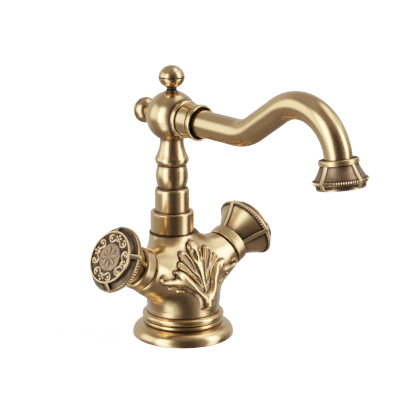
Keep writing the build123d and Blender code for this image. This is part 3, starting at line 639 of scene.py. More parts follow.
class Outline:
    """Half outline of a turned piece as (radius, height) points, with the outside on its right."""

    soft_turn = math.radians(20)
    corner_room = 0.42
    corner_shares = (0.0, 0.33, 0.67, 1.0)

    def __init__(self, *stops: Point | Arc) -> None:
        """Goes from its first point on in straight lines and round arcs."""
        self.points: list[Point] = []
        for stop in stops:
            self.points.extend(self.bend(stop) if isinstance(stop, Arc) else [stop])

    def bend(self, arc: Arc) -> list[Point]:
        """Works out the points of an arc that goes on from here.

        Args:
            arc: The arc.

        Returns:
            Its points, without its start.
        """
        here, through, end = (complex(*point) for point in (self.points[-1], arc.through, arc.end))
        slant = (end - here) / (through - here)
        middle = here + (through - here) * (slant - abs(slant) ** 2) / (2j * slant.imag)
        passed, sweep = (cmath.phase((spot - middle) / (here - middle)) % math.tau for spot in (through, end))
        if passed > sweep:
            sweep -= math.tau
        steps = range(1, arc.steps + 1)
        spots = (middle + (here - middle) * cmath.exp(1j * sweep * step / arc.steps) for step in steps)
        return [(spot.real, spot.imag) for spot in spots]

    def rounded(self, rounding: float, loop: bool, longest: float = 1.6) -> Array:
        """Rounds the corners and divides the long runs.

        Args:
            rounding: Size of the rounding of a corner.
            loop: Whether the outline closes on itself.
            longest: Longest run that is left whole.

        Returns:
            The points, one row each.
        """
        corners = np.array(self.points, float)
        count = len(corners)
        made = []
        for number, corner in enumerate(corners):
            back = corners[number - 1] - corner
            ahead = corners[(number + 1) % count] - corner
            back_l, ahead_l = np.linalg.norm(back), np.linalg.norm(ahead)
            inner = loop or 0 < number < count - 1
            cosine = -back @ ahead / max(back_l * ahead_l, TINY)
            if not inner or cosine > math.cos(self.soft_turn):
                made.append(corner)
                continue
            cut = min(rounding, self.corner_room * min(back_l, ahead_l))
            start = corner + back / back_l * cut
            end = corner + ahead / ahead_l * cut
            for share in self.corner_shares:
                made.append(start * (1 - share) ** 2 + 2 * corner * share * (1 - share) + end * share ** 2)
        ring = made + made[:1] if loop else made
        fine = []
        for here, there in zip(ring[:-1], ring[1:]):
            parts = max(1, math.ceil(np.linalg.norm(there - here) / longest))
            fine.extend(here + (there - here) * part / parts for part in range(parts))
        if not loop:
            fine.append(made[-1])
        return np.array(fine)


def recess_of(points: Array, loop: bool, reach: float, spread: float = 75.0, rays: int = 11) -> Array:
    """Says how deep each point of an outline lies in a recess.

    Args:
        points: The outline's points, outside on the right.
        loop: Whether the outline closes on itself.
        reach: How far a facing wall is felt.
        spread: Degrees to each side of straight out in which walls are looked for.
        rays: Directions to look in.

    Returns:
        From 0 in the open to 1 in a narrow groove, for each point.
    """
    skin = 0.01
    spots = points @ np.array([1, 1j])
    starts = spots if loop else spots[:-1]
    runs = np.roll(spots, -1)[:len(starts)] - starts
    travel = np.roll(spots, -1) - np.roll(spots, 1)
    if not loop:
        travel[0], travel[-1] = runs[0], runs[-1]
    out = -1j * travel / np.abs(travel)
    offset = (starts - (spots + skin * out)[:, None]).conj()
    hidden = np.zeros(len(points))
    for turn in np.radians(np.linspace(-spread, spread, rays)):
        way = (out * np.exp(1j * turn))[:, None]
        cross = (way.conj() * runs).imag
        cross = np.where(np.abs(cross) < TINY, TINY, cross)
        distance, share = (offset * runs).imag / cross, (offset * way).imag / cross
        hit = (distance > 0) & (distance < reach) & (share >= 0) & (share <= 1)
        hidden += 1 - np.where(hit, distance, reach).min(axis=1) / reach
    return hidden / rays


@dataclass(frozen=True)
class Ring:
    """One ring of points of a turned piece, as arrays of the same length."""

    angle: Array
    radius: Array
    height: Array
    dark: Array


@dataclass
class Turned:
    """A turned piece: an outline spun round the Z axis of its place.

    Seams are (height, width, darkness) bands of patina and painted shade at its grooves and where other pieces
    meet it, besides the patina and painted shade that gather in the recesses of the outline, and a tone works
    out the final darkness of a ring.
    """

    outline: Outline
    loop: bool = False
    rounding: float = 0.25
    sides: int = 96
    reach: float = 3.5
    dark_gain: float = 2.2
    dark_start: float = 0.12
    seams: Spots = ()
    tone: Callable[[Ring], Array] | None = None
    brush_wander: float = 0.12
    pole_r: float = 1e-6

    def mesh(self, name: str, place: Place, finish: Material) -> Mesh:
        """Builds the piece in its place.

        Args:
            name: Name of the mesh.
            place: Where the piece stands.
            finish: Its material.

        Returns:
            The finished mesh.
        """
        line = self.outline.rounded(self.rounding, self.loop)
        # Patina and painted shade gather in the outline's recesses, and seams add painted shade where pieces meet.
        recess = (recess_of(line, self.loop, self.reach) - self.dark_start) * self.dark_gain
        for height, width, dark in self.seams:
            recess = np.maximum(recess, dark * np.exp(-np.abs(line[:, 1] - height) / width))
        run = np.concatenate([[0], np.cumsum(np.linalg.norm(np.diff(line, axis=0), axis=1))])
        angles = np.arange(self.sides) * math.tau / self.sides
        points, patina, brush = [], [], []
        for (radius, height), dark, along in zip(line, np.clip(recess, 0, 1), run):
            around = angles[:1] if radius < self.pole_r and not self.loop else angles
            spread = np.ones_like(around)
            turn = np.stack([np.cos(around), np.sin(around)], axis=1)
            points.append(np.column_stack([radius * turn, height * spread]))
            brush.append(np.column_stack([along * spread, self.brush_wander * turn]))
            ring = Ring(around, radius * spread, height * spread, dark * spread)
            patina.append(ring.dark if self.tone is None else self.tone(ring))
        faces = skin_over([len(ring) for ring in points], self.loop)
        mesh = write_mesh(name, np.vstack(points), faces, np.concatenate(patina), np.vstack(brush))
        mesh.transform(place.matrix())
        mesh.materials.append(finish)
        return mesh

    def put(self, name: str, place: Place, finish: Material, body: str, node: str) -> None:
        """Builds the piece and shows it on a body instead of a node of the frame."""
        show(self.mesh(name, place, finish), name, body, stands_for=(node,))


def ring_mesh(name: str, rings: Sequence[Array], patina: Sequence[Array]) -> Mesh:
    """Makes a closed, unbrushed mesh in metres.

    Args:
        name: Name of the mesh.
        rings: Points of each ring in millimetres, with a pole at both ends.
        patina: Darkness of the points of each ring.

    Returns:
        The new mesh.
    """
    points = np.vstack(rings) * MM
    faces = skin_over([len(ring) for ring in rings])
    return write_mesh(name, points, faces, np.concatenate(patina), np.zeros_like(points))


@dataclass(frozen=True)
class Lobe:
    """One lobe of the leaf, drawn as stations of (x, rise, half-width) with a round, dished section.

    The hollow lies between two shares of the lobe's length, open at the tip where the second is past 1.
    Its place and width are counted in half-widths of the lobe.
    """

    stations: Spots
    height: float
    hollow: float = 0.0
    hollow_from: float = 0.4
    hollow_to: float = 2.0
    hollow_rise: float = 0.2
    hollow_fall: float = 0.12
    hollow_place: float = 0.0
    hollow_width: float = 0.5
    hollow_power: float = 2.5
    root: float = 1.0
    root_to: float = 0.5
    tip_lift: float = 0.0
    tip_from: float = 0.65
    edge: float = 0.4
    blending: float = 0.3
    steps: int = 10

    def measure(self, x: Array, rise: Array, spare: float) -> tuple[Array, Array, Array]:
        """Finds the nearest place on the lobe's line, where the lobe is felt.

        Args:
            x: Places across the body.
            rise: Heights above the waist.
            spare: How far round the lobe it is felt.

        Returns:
            Share of the line's length, distance outside the lobe's edge, and half-width there.
        """
        stations = np.array(self.stations)
        room = stations[:, 2].max() + spare
        near = np.abs(x - stations[:, 0].mean()) < np.ptp(stations[:, 0]) + room
        near &= (rise > stations[:, 1].min() - room) & (rise < stations[:, 1].max() + room)
        line = curve_through(stations, self.steps)
        last = len(line) - 1
        gaps, shares, widths = [], [], []
        for number in range(last):
            (ax, ay, aw), (bx, by, bw) = line[number], line[number + 1]
            dx, dy = bx - ax, by - ay
            over, up = x[near] - ax, rise[near] - ay
            part = np.clip((over * dx + up * dy) / (dx * dx + dy * dy), 0, 1)
            half = aw + part * (bw - aw)
            gaps.append(np.hypot(over - part * dx, up - part * dy) - half)
            shares.append((number + part) / last)
            widths.append(half)
        share, outside, width = np.ones(x.shape), np.full(x.shape, 2 * room), np.ones(x.shape)
        outside[near] = np.min(gaps, axis=0)
        weights = np.exp((outside[near] - np.array(gaps)) / self.blending)
        weights /= weights.sum(axis=0)
        share[near], width[near] = (weights * shares).sum(axis=0), (weights * widths).sum(axis=0)
        return share, outside, width

    def dished(self, share: Array, across: Array) -> Array:
        """Works out the depth of the lobe's hollow.

        Args:
            share: Share of the lobe's length.
            across: Distance from its middle in half-widths.

        Returns:
            The depth as a share of the lobe's height.
        """
        run = smooth_step(self.hollow_from, self.hollow_from + self.hollow_rise, share)
        run = run * (1 - smooth_step(self.hollow_to - self.hollow_fall, self.hollow_to, share))
        off = np.abs((across - self.hollow_place) / self.hollow_width)
        return self.hollow * run * np.exp(-off ** self.hollow_power)

    def crest(self, share: Array, across: Array) -> Array:
        """Works out how high the lobe stands before its edges round off.

        Args:
            share: Share of its length.
            across: Distance from its middle in half-widths.

        Returns:
            The height, less its hollow.
        """
        grown = self.root + (1 - self.root) * smooth_step(0.0, self.root_to, share)
        grown = grown + self.tip_lift * smooth_step(self.tip_from, 1.0, share)
        return self.height * (grown - self.dished(share, across))

    def relief(self, share: Array, across: Array) -> Array:
        """The lobe's height over the plain casting, 0 outside its edge."""
        dome = self.edge + (1 - self.edge) * np.sqrt(np.clip(1 - across ** 2, 0, 1))
        return np.where(across < 1, np.maximum(self.crest(share, across) * dome, 0), 0)


@dataclass
class LeafRelief:
    """Acanthus leaf on the front of the body, the same on both sides of the middle.

    Places are (x, rise) seen from the front, with the rise counted from the waist, and heights are off the
    plain casting. A berry is (x, rise, radius).
    """

    stem: Lobe = Lobe(((0, 11.2, 4.4), (0, 9.0, 5.7), (0, 6.0, 6.5)), height=3.3)
    stem_end: float = 5.2
    stem_round: float = 0.03
    stem_w: float = 8.0
    stem_fade: Point = (-0.6, 2.6)
    stem_power: float = 0.6
    tendril: Lobe = Lobe(
        ((10.6, 21.2, 2.0), (15.5, 24.6, 2.8), (20.5, 26.0, 2.8), (25.0, 26.9, 2.2), (29.0, 27.4, 1.7),
         (32.2, 28.7, 1.4), (32.8, 30.8, 1.25), (31.2, 32.0, 1.1), (30.0, 30.9, 0.9)), height=2.7)
    arm: Lobe = Lobe(
        ((3.0, 13.2, 3.0), (5.3, 15.6, 2.8), (8.4, 19.5, 2.8), (11.5, 24.2, 3.3), (15.0, 28.4, 3.6),
         (18.6, 31.2, 2.5), (21.6, 32.7, 1.2), (22.8, 33.1, 0.6)),
        height=3.3, hollow=0.3, hollow_from=0.5, tip_lift=0.15)
    outer: Lobe = Lobe(
        ((1.0, 18.6, 0.7), (4.7, 24.4, 1.2), (8.2, 29.2, 1.5), (12.0, 33.4, 1.9), (15.6, 36.0, 2.3)),
        height=2.7, hollow=0.6, hollow_width=0.58, root=0.3, tip_lift=0.15)
    side: Lobe = Lobe(
        ((0.7, 18.2, 0.6), (2.2, 23.0, 1.0), (4.6, 29.3, 1.9), (7.5, 35.4, 3.1), (10.4, 40.2, 3.4)),
        height=3.1, hollow=0.66, hollow_width=0.58, root=0.3, tip_lift=0.15)
    centre: Lobe = Lobe(
        ((0, 17.0, 0.8), (0, 25.3, 2.0), (0, 31.0, 3.1), (0, 37.0, 4.3), (0, 43.8, 4.9)),
        height=3.2, hollow=0.7, hollow_from=0.66, hollow_to=1.0, hollow_place=0.56, hollow_width=0.26,
        root=0.3, tip_lift=0.3)
    berries: Spots = ((25.2, 22.8, 1.25), (19.2, 20.0, 1.35), (16.9, 19.4, 1.1))
    berry_lift: float = 1.3
    reach_x: float = 40.0
    low: float = -4.0
    high: float = 56.0
    pitch: float = 0.14
    mesh_pitch: float = 0.22
    thinnest: float = 0.04
    fold: float = 0.8
    fold_floor: float = 0.15
    merging: float = 4.0
    parting: Point = (0.6, 0.85)
    swell: float = 0.7
    softness: float = 0.36
    blur_reach: float = 3.0
    cavity_size: float = 0.8
    cavity_depth: float = 0.9
    shadow_size: float = 2.2
    shadow_depth: float = 1.5
    shadow: float = 0.75
    bowl_dark: float = 0.7
    sink: float = 0.25
    sink_to: float = 0.3
    depth: float = 1.2
    _map: dict[str, Array] = field(default_factory=dict)

    def draw(self) -> None:
        """Works out the map of heights and the map of darkness: patina in recesses and hollows, and painted shadow
        on the casting round the leaf.
        """
        xs = np.arange(-self.reach_x, self.reach_x + self.pitch, self.pitch)
        rises = np.arange(self.low, self.high + self.pitch, self.pitch)
        x, rise = np.meshgrid(np.abs(xs), rises)
        height = self.branch(x, rise)
        bowl = np.zeros(x.shape)
        for lobe in (self.outer, self.side, self.centre):
            share, outside, width = lobe.measure(x, rise, self.fold + self.merging)
            top = lobe.relief(share, 1 + outside / width)
            kept = self.fold_floor + (1 - self.fold_floor) * smooth_step(0.0, self.fold, outside)
            height = np.maximum(top, np.where(outside > 0, height * kept, np.minimum(height, top)))
            bowl = np.where(outside < 0, lobe.dished(share, 1 + outside / width), bowl)
        for berry_x, berry_rise, radius in self.berries:
            away = np.hypot(x - berry_x, rise - berry_rise)
            dome = np.sqrt(np.clip(radius ** 2 - away ** 2, 0, None))
            height = np.maximum(height, dome * self.berry_lift)
        cavity = np.clip((self.blur(height, self.cavity_size) - height) / self.cavity_depth, 0, 1)
        # Painted shadow: a soft dark band on the casting round the raised leaf and under its edges.
        shaded = np.clip((self.blur(height, self.shadow_size) - height) / self.shadow_depth, 0, 1)
        self._map["height"] = self.blur(height, self.softness)
        self._map["recess"] = np.maximum.reduce([cavity, self.shadow * shaded, self.bowl_dark * bowl])

    def branch(self, x: Array, rise: Array) -> Array:
        """Works out the height of the stem, the tendril and the arm, which flow into one another.

        Args:
            x: Places across the body.
            rise: Heights above the waist.

        Returns:
            The height over the plain casting.
        """
        felt = self.fold + self.merging
        share, gap, width = self.stem.measure(x, rise, felt)
        crest = self.stem.crest(share, 1 + gap / width)
        for lobe in (self.tendril, self.arm):
            share, outside, half = lobe.measure(x, rise, felt)
            reach = self.fold + self.merging * (1 - smooth_step(*self.parting, share))
            lead = smooth_step(-1.0, 1.0, (gap - outside) / reach)
            crest = crest + lead * (lobe.crest(share, 1 + outside / half) - crest)
            width = width + lead * (half - width)
            gap = merged(gap, outside, reach)
        across = np.clip(1 + gap / width, 0, 1)
        foot = self.stem_end + self.stem_round * np.minimum(x, self.stem_w) ** 2
        grown = smooth_step(*self.stem_fade, rise - foot) ** self.stem_power
        return crest * (1 - across ** 2) ** self.swell * grown

    def blur(self, values: Array, size: float) -> Array:
        """Softens a map by a bell curve.

        Args:
            values: The map.
            size: Size of the curve in millimetres.

        Returns:
            The soft map.
        """
        last = int(self.blur_reach * size / self.pitch) + 1
        weights = np.exp(-0.5 * (np.arange(-last, last + 1) * self.pitch / size) ** 2)
        weights /= weights.sum()
        rows = np.apply_along_axis(np.convolve, 1, values, weights, "same")
        return np.apply_along_axis(np.convolve, 0, rows, weights, "same")

    def patch(self) -> tuple[Array, Array, Array]:
        """Lays a fine grid over the leaf.

        Returns:
            Places across and rises of the grid's points, and which of its cells the leaf covers.
        """
        xs = np.arange(-self.reach_x, self.reach_x, self.mesh_pitch)
        rises = np.arange(self.low, self.high, self.mesh_pitch)
        x, rise = np.meshgrid(xs, rises)
        covered = self.read("height", x, rise) > self.thinnest
        wide = covered.copy()
        for way in ((0, 1), (0, -1), (1, 0), (-1, 0)):
            wide |= np.roll(covered, way, axis=(0, 1))
        cells = wide[:-1, :-1] & wide[1:, :-1] & wide[:-1, 1:] & wide[1:, 1:]
        return x, rise, cells

    def read(self, name: str, x: Array, rise: Array) -> Array:
        """Reads a map.

        Args:
            name: Name of the map.
            x: Places across the body.
            rise: Heights above the waist.

        Returns:
            Its values there, 0 outside it.
        """
        values = self._map[name]
        column = (x + self.reach_x) / self.pitch
        row = (rise - self.low) / self.pitch
        inside = (column >= 0) & (row >= 0) & (column < values.shape[1] - 1) & (row < values.shape[0] - 1)
        column = np.clip(column, 0, values.shape[1] - 2)
        row = np.clip(row, 0, values.shape[0] - 2)
        i, j = row.astype(int), column.astype(int)
        u, v = row - i, column - j
        level = values[i, j] * (1 - u) * (1 - v) + values[i, j + 1] * (1 - u) * v
        level = level + values[i + 1, j] * u * (1 - v) + values[i + 1, j + 1] * u * v
        return np.where(inside, level, 0.0)


@dataclass
class BodyCasting:
    """Body of the faucet: a leaning trunk that two raised arms flow into, with the leaf on its front.

    The trunk is stations of (rise, radius, setback). Rays that find its surface are spaced in degrees, and a
    search is how many rounds it takes and what share of the gap each of them closes.
    """

    waist_z: float
    neck_z: float
    arm_root_z: float
    arm_axis: Spot
    arm_length: float = 41.0
    arm_spare: float = 9.0
    trunk: Spots = (
        (-6.0, 24.4, 0.0), (0.0, 24.2, 0.0), (12.6, 23.5, -0.4), (27.6, 20.0, 4.0), (40.6, 16.9, 8.3),
        (52.1, 15.6, 10.7), (60.0, 15.2, 12.2))
    arm_foot: Point = (3.0, 3.6)
    arm_radii: tuple[float, ...] = (16.5, 17.4, 16.9, 15.9, 14.4)
    arm_boss: float = 10.0
    crotch: Point = (9.5, 19.0)
    crotch_rise: Point = (28.0, 42.0)
    heart: Spot = (0.0, 3.0, 36.0)
    heart_r: float = 6.0
    front: float = 66.0
    front_step: float = 0.5
    back_step: float = 2.5
    fine_band: Point = (-48.0, 60.0)
    fine_step: float = 0.55
    steepest: float = 88.0
    low_rows: int = 16
    high_rows: int = 14
    cast_search: tuple[int, float] = (60, 0.85)
    leaf_search: tuple[int, float] = (70, 0.8)
    leaf_start_y: float = -45.0
    leaf_lean: float = 0.6
    front_fade: float = 0.35
    sharp: float = 60.0
    leaf_sharp: float = 70.0
    grain_slant: float = 0.25
    grain_wander: float = 0.03
    mouth_round: float = 1.3
    lip_bore: float = 11.0
    lip_back: float = 0.5
    lip_taper: float = 0.3
    foot_lap: float = 0.2
    foot_drop: float = 0.5
    weld: float = 0.001
    seam_w: float = 0.7
    neck_dark: float = 0.8
    seam_rows: tuple[float, ...] = (2.8, 1.8, 1.1, 0.6, 0.3)
    leaf: LeafRelief = field(default_factory=LeafRelief)

    def from_arm(self, x: Array, y: Array, z: Array) -> Array:
        """Measures from the arm on the +X side, a bend that runs into a straight stretch.

        Args:
            x: Places of points across the body.
            y: Their places from front to back.
            z: Their heights.

        Returns:
            How far they lie outside it, below 0 inside.
        """
        foot_x, foot_rise = self.arm_foot
        tilt = math.atan2(self.arm_axis[2], self.arm_axis[0])
        sweep = math.pi / 2 - tilt
        tangent = self.arm_root_z + foot_x * math.tan(tilt) - self.waist_z - foot_rise
        bend_r = tangent / math.tan(sweep / 2)
        middle_x, middle_z = foot_x + bend_r, self.waist_z + foot_rise
        turn = np.clip(np.arctan2(z - middle_z, middle_x - x), 0, sweep)
        bend_rise = np.maximum(z - middle_z, 0) - bend_r * np.sin(turn)
        from_bend = np.hypot(x - middle_x + bend_r * np.cos(turn), bend_rise)
        throat = foot_x / math.cos(tilt) + tangent
        along = x * math.cos(tilt) + (z - self.arm_root_z) * math.sin(tilt)
        along = np.clip(along, throat, self.arm_length + self.arm_spare)
        from_run = np.hypot(x - along * math.cos(tilt), z - self.arm_root_z - along * math.sin(tilt))
        bend = bend_r * sweep
        run = np.where(from_run < from_bend, bend + along - throat, bend_r * turn)
        mouth = bend + self.arm_length - throat
        radius = ease_between((0.0, bend / 2, bend, mouth - self.arm_boss, mouth), self.arm_radii, run)
        return np.hypot(np.minimum(from_run, from_bend), y) - radius

    def outside(self, points: Array) -> Array:
        """Measures from the plain casting.

        Args:
            points: Places of points.

        Returns:
            How far they lie outside it, below 0 inside.
        """
        x, y, z = np.abs(points[:, 0]), points[:, 1], points[:, 2]
        rise = z - self.waist_z
        rises, radii, setbacks = zip(*self.trunk)
        from_trunk = np.hypot(x, y - ease_between(rises, setbacks, rise)) - ease_between(rises, radii, rise)
        low, high = self.crotch
        crotch = low + (high - low) * smooth_step(*self.crotch_rise, rise)
        return merged(from_trunk, self.from_arm(x, y, z), crotch)

    def settle(self, start: Array, ways: Array, search: tuple[int, float]) -> Array:
        """Moves points to the surface of the plain casting.

        Args:
            start: Where they start.
            ways: Directions out of the casting that they move along.
            search: Rounds to take, and the share of the gap that each closes.

        Returns:
            Where they end.
        """
        rounds, pace = search
        reach = np.zeros((len(start), 1))
        for _ in range(rounds):
            reach -= pace * self.outside(start + ways * reach)[:, None]
        return start + ways * reach

    def cast(self) -> tuple[Array, list[tuple[int, ...]]]:
        """Finds the plain casting's surface along rays from its heart.

        Returns:
            The surface points and the faces between them.
        """
        front = np.arange(-self.front, self.front + self.front_step / 2, self.front_step)
        back = np.arange(self.front, 360 - self.front, self.back_step)[1:]
        low, high = self.fine_band
        elevations = np.concatenate([
            np.linspace(-self.steepest, low, self.low_rows, endpoint=False),
            np.arange(low, high, self.fine_step), np.linspace(high, self.steepest, self.high_rows)])
        bearing, elevation = np.meshgrid(np.radians(np.concatenate([front, back])), np.radians(elevations))
        flat = np.cos(elevation)
        rays = np.stack([flat * np.sin(bearing), -flat * np.cos(bearing), np.sin(elevation)], axis=-1)
        rays = np.vstack([[0, 0, -1], rays.reshape(-1, 3), [0, 0, 1]])
        points = self.settle(np.array(self.heart) + rays * self.heart_r, rays, self.cast_search)
        rows, columns = bearing.shape
        return points, skin_over([1] + [columns] * rows + [1])

    def facing(self, points: Array, step: float = 0.05) -> Array:
        """Unit vectors straight out of the plain casting, measured a step to each side of its points."""
        out = np.stack([
            self.outside(points + way) - self.outside(points - way) for way in step * np.eye(3)], axis=1)
        return out / np.linalg.norm(out, axis=1, keepdims=True)

    def grain(self, points: Array) -> Array:
        """Place of surface points in the brushed pattern."""
        lines = points[:, 2] - self.waist_z + self.grain_slant * points[:, 0]
        return np.column_stack([lines, self.grain_wander * points[:, :2]])

    def leaf_mesh(self, finish: Material) -> Mesh:
        """Makes the leaf as a closed relief that grows out of the casting.

        Args:
            finish: Its material.

        Returns:
            The finished mesh.
        """
        x, rise, cells = self.leaf.patch()
        used = np.zeros(x.shape, bool)
        for down, across in ((0, 0), (0, 1), (1, 0), (1, 1)):
            used[down:down + cells.shape[0], across:across + cells.shape[1]] |= cells
        count = used.sum()
        number = np.full(x.shape, -1)
        number[used] = np.arange(count)
        start = np.stack([x[used], np.full(count, self.leaf_start_y), rise[used] + self.waist_z], axis=1)
        points = self.settle(start, np.array([0.0, -1.0, 0.0]), self.leaf_search)
        out = self.facing(points)
        way = out - np.array([0.0, self.leaf_lean, 0.0])
        way /= np.linalg.norm(way, axis=1, keepdims=True)
        height = self.leaf.read("height", x[used], rise[used])
        lift = height - self.leaf.sink * (1 - smooth_step(0.0, self.leaf.sink_to, height))
        top = points + way * lift[:, None]
        under = points - out * self.leaf.depth
        corners = np.stack([number[:-1, :-1], number[:-1, 1:], number[1:, 1:], number[1:, :-1]], axis=-1)
        front = corners[cells]
        faces = front.tolist() + (front[:, ::-1] + count).tolist()
        padded = np.pad(cells, 1)
        for edge, (down, across) in enumerate(((-1, 0), (0, 1), (1, 0), (0, -1))):
            beside = np.roll(padded, (-down, -across), axis=(0, 1))[1:-1, 1:-1]
            rim = corners[cells & ~beside]
            first, last = rim[:, edge], rim[:, (edge + 1) % 4]
            faces.extend(np.stack([last, first, first + count, last + count], axis=1).tolist())
        # The hidden underside is fully dark, so the leaf's walls darken towards the casting: patina and painted
        # shade round its edge.
        recess = np.concatenate([self.leaf.read("recess", x[used], rise[used]), np.ones(count)])
        brush = np.tile(self.grain(points), (2, 1))
        mesh = write_mesh("body_leaf", np.vstack([top, under]) * MM, faces, recess, brush, self.leaf_sharp)
        mesh.materials.append(finish)
        return mesh

    def foot(self) -> Mesh:
        """Copies the foot below the waist, with its inlets and stud holes, from the construction.

        Returns:
            The mesh in metres.
        """
        foot = frame["nodes"]["mixer_body"].data.copy()
        for attribute in [a.name for a in foot.attributes if not a.is_internal and not a.is_required]:
            foot.attributes.remove(foot.attributes[attribute])
        shape = bmesh.new()
        shape.from_mesh(foot)
        bmesh.ops.remove_doubles(shape, verts=shape.verts, dist=self.weld * MM)
        cut_flat(shape, Vector((0, 0, (self.waist_z - self.foot_drop) * MM)), Vector((0, 0, 1)))
        shape.to_mesh(foot)
        shape.free()
        return foot

    def lip(self, axis: Vector, finish: Material) -> Mesh:
        """Makes the rounded lip that ends an arm.

        Args:
            axis: Direction of the arm.
            finish: Its material.

        Returns:
            The finished mesh.
        """
        edge_r, round_r = self.arm_radii[-1], self.mouth_round
        low = -round_r - self.lip_back
        corner = round_r * (1 - math.sqrt(0.5))
        outline = Outline(
            (self.lip_bore, low), (edge_r - self.lip_taper, low), (edge_r, -round_r),
            Arc((edge_r - corner, -corner), (edge_r - round_r, 0.0)), (self.lip_bore, 0.0))
        mouth = Vector((0, 0, self.arm_root_z)) + axis * self.arm_length
        return Turned(outline, loop=True, rounding=0.1, sides=128).mesh(
            "arm_lip", Place(tuple(mouth), tuple(axis), TO_FRONT), finish)

    def build(self, shop: Workshop) -> None:
        """Cuts the casting to its ends, joins its foot and puts it and its leaf into the scene.

        Args:
            shop: What the sub-assemblies share.
        """
        finish = shop.finish[Brass.CAST]
        self.leaf.draw()
        points, faces = self.cast()
        fronted = smooth_step(0.0, self.front_fade, -self.facing(points)[:, 1])
        # The casting takes the leaf's map where it faces forward, with the painted shadow round the leaf.
        recess = self.leaf.read("recess", points[:, 0], points[:, 2] - self.waist_z) * fronted
        mesh = write_mesh("body_casting", points, faces, recess, self.grain(points))
        shape = bmesh.new()
        shape.from_mesh(mesh)
        up = Vector((0, 0, 1))
        arms = [Vector((sign * self.arm_axis[0], 0, self.arm_axis[2])) for sign in (-1, 1)]
        ends = [(up * (self.waist_z - self.foot_lap), -up), (up * self.neck_z, up)]
        for axis in arms:
            ends.append((up * self.arm_root_z + axis * (self.arm_length - self.mouth_round), axis))
        for point, away in ends:
            for inset in self.seam_rows:
                everything = shape.verts[:] + shape.edges[:] + shape.faces[:]
                bmesh.ops.bisect_plane(shape, geom=everything, plane_co=point - inset * away, plane_no=away)
            cut_flat(shape, point, away)
        dark = shape.verts.layers.float["patina"]
        places = np.array([vertex.co for vertex in shape.verts])
        # Painted shade in the joints: at the waist, where the casting stands in the base, and under the collar at
        # the neck.
        at_waist = np.exp(-np.clip(places[:, 2] - self.waist_z, 0, None) / self.seam_w)
        at_neck = self.neck_dark * np.exp(-np.clip(self.neck_z - places[:, 2], 0, None) / self.seam_w)
        at_neck *= np.abs(places[:, 0]) < self.arm_length / 2
        for vertex, seam in zip(shape.verts, np.maximum(at_waist, at_neck)):
            vertex[dark] = max(vertex[dark], seam)
        bmesh.ops.scale(shape, vec=(MM, MM, MM), verts=shape.verts)
        for part in (self.foot(), *(self.lip(axis, finish) for axis in arms)):
            shape.from_mesh(part)
            bpy.data.meshes.remove(part)
        shape.to_mesh(mesh)
        shape.free()
        mesh.shade_smooth()
        mesh.set_sharp_from_angle(angle=math.radians(self.sharp))
        show(mesh, "body_casting", "body", stands_for=("mixer_body",), finish=finish)
        show(self.leaf_mesh(finish), "body_leaf", "body")


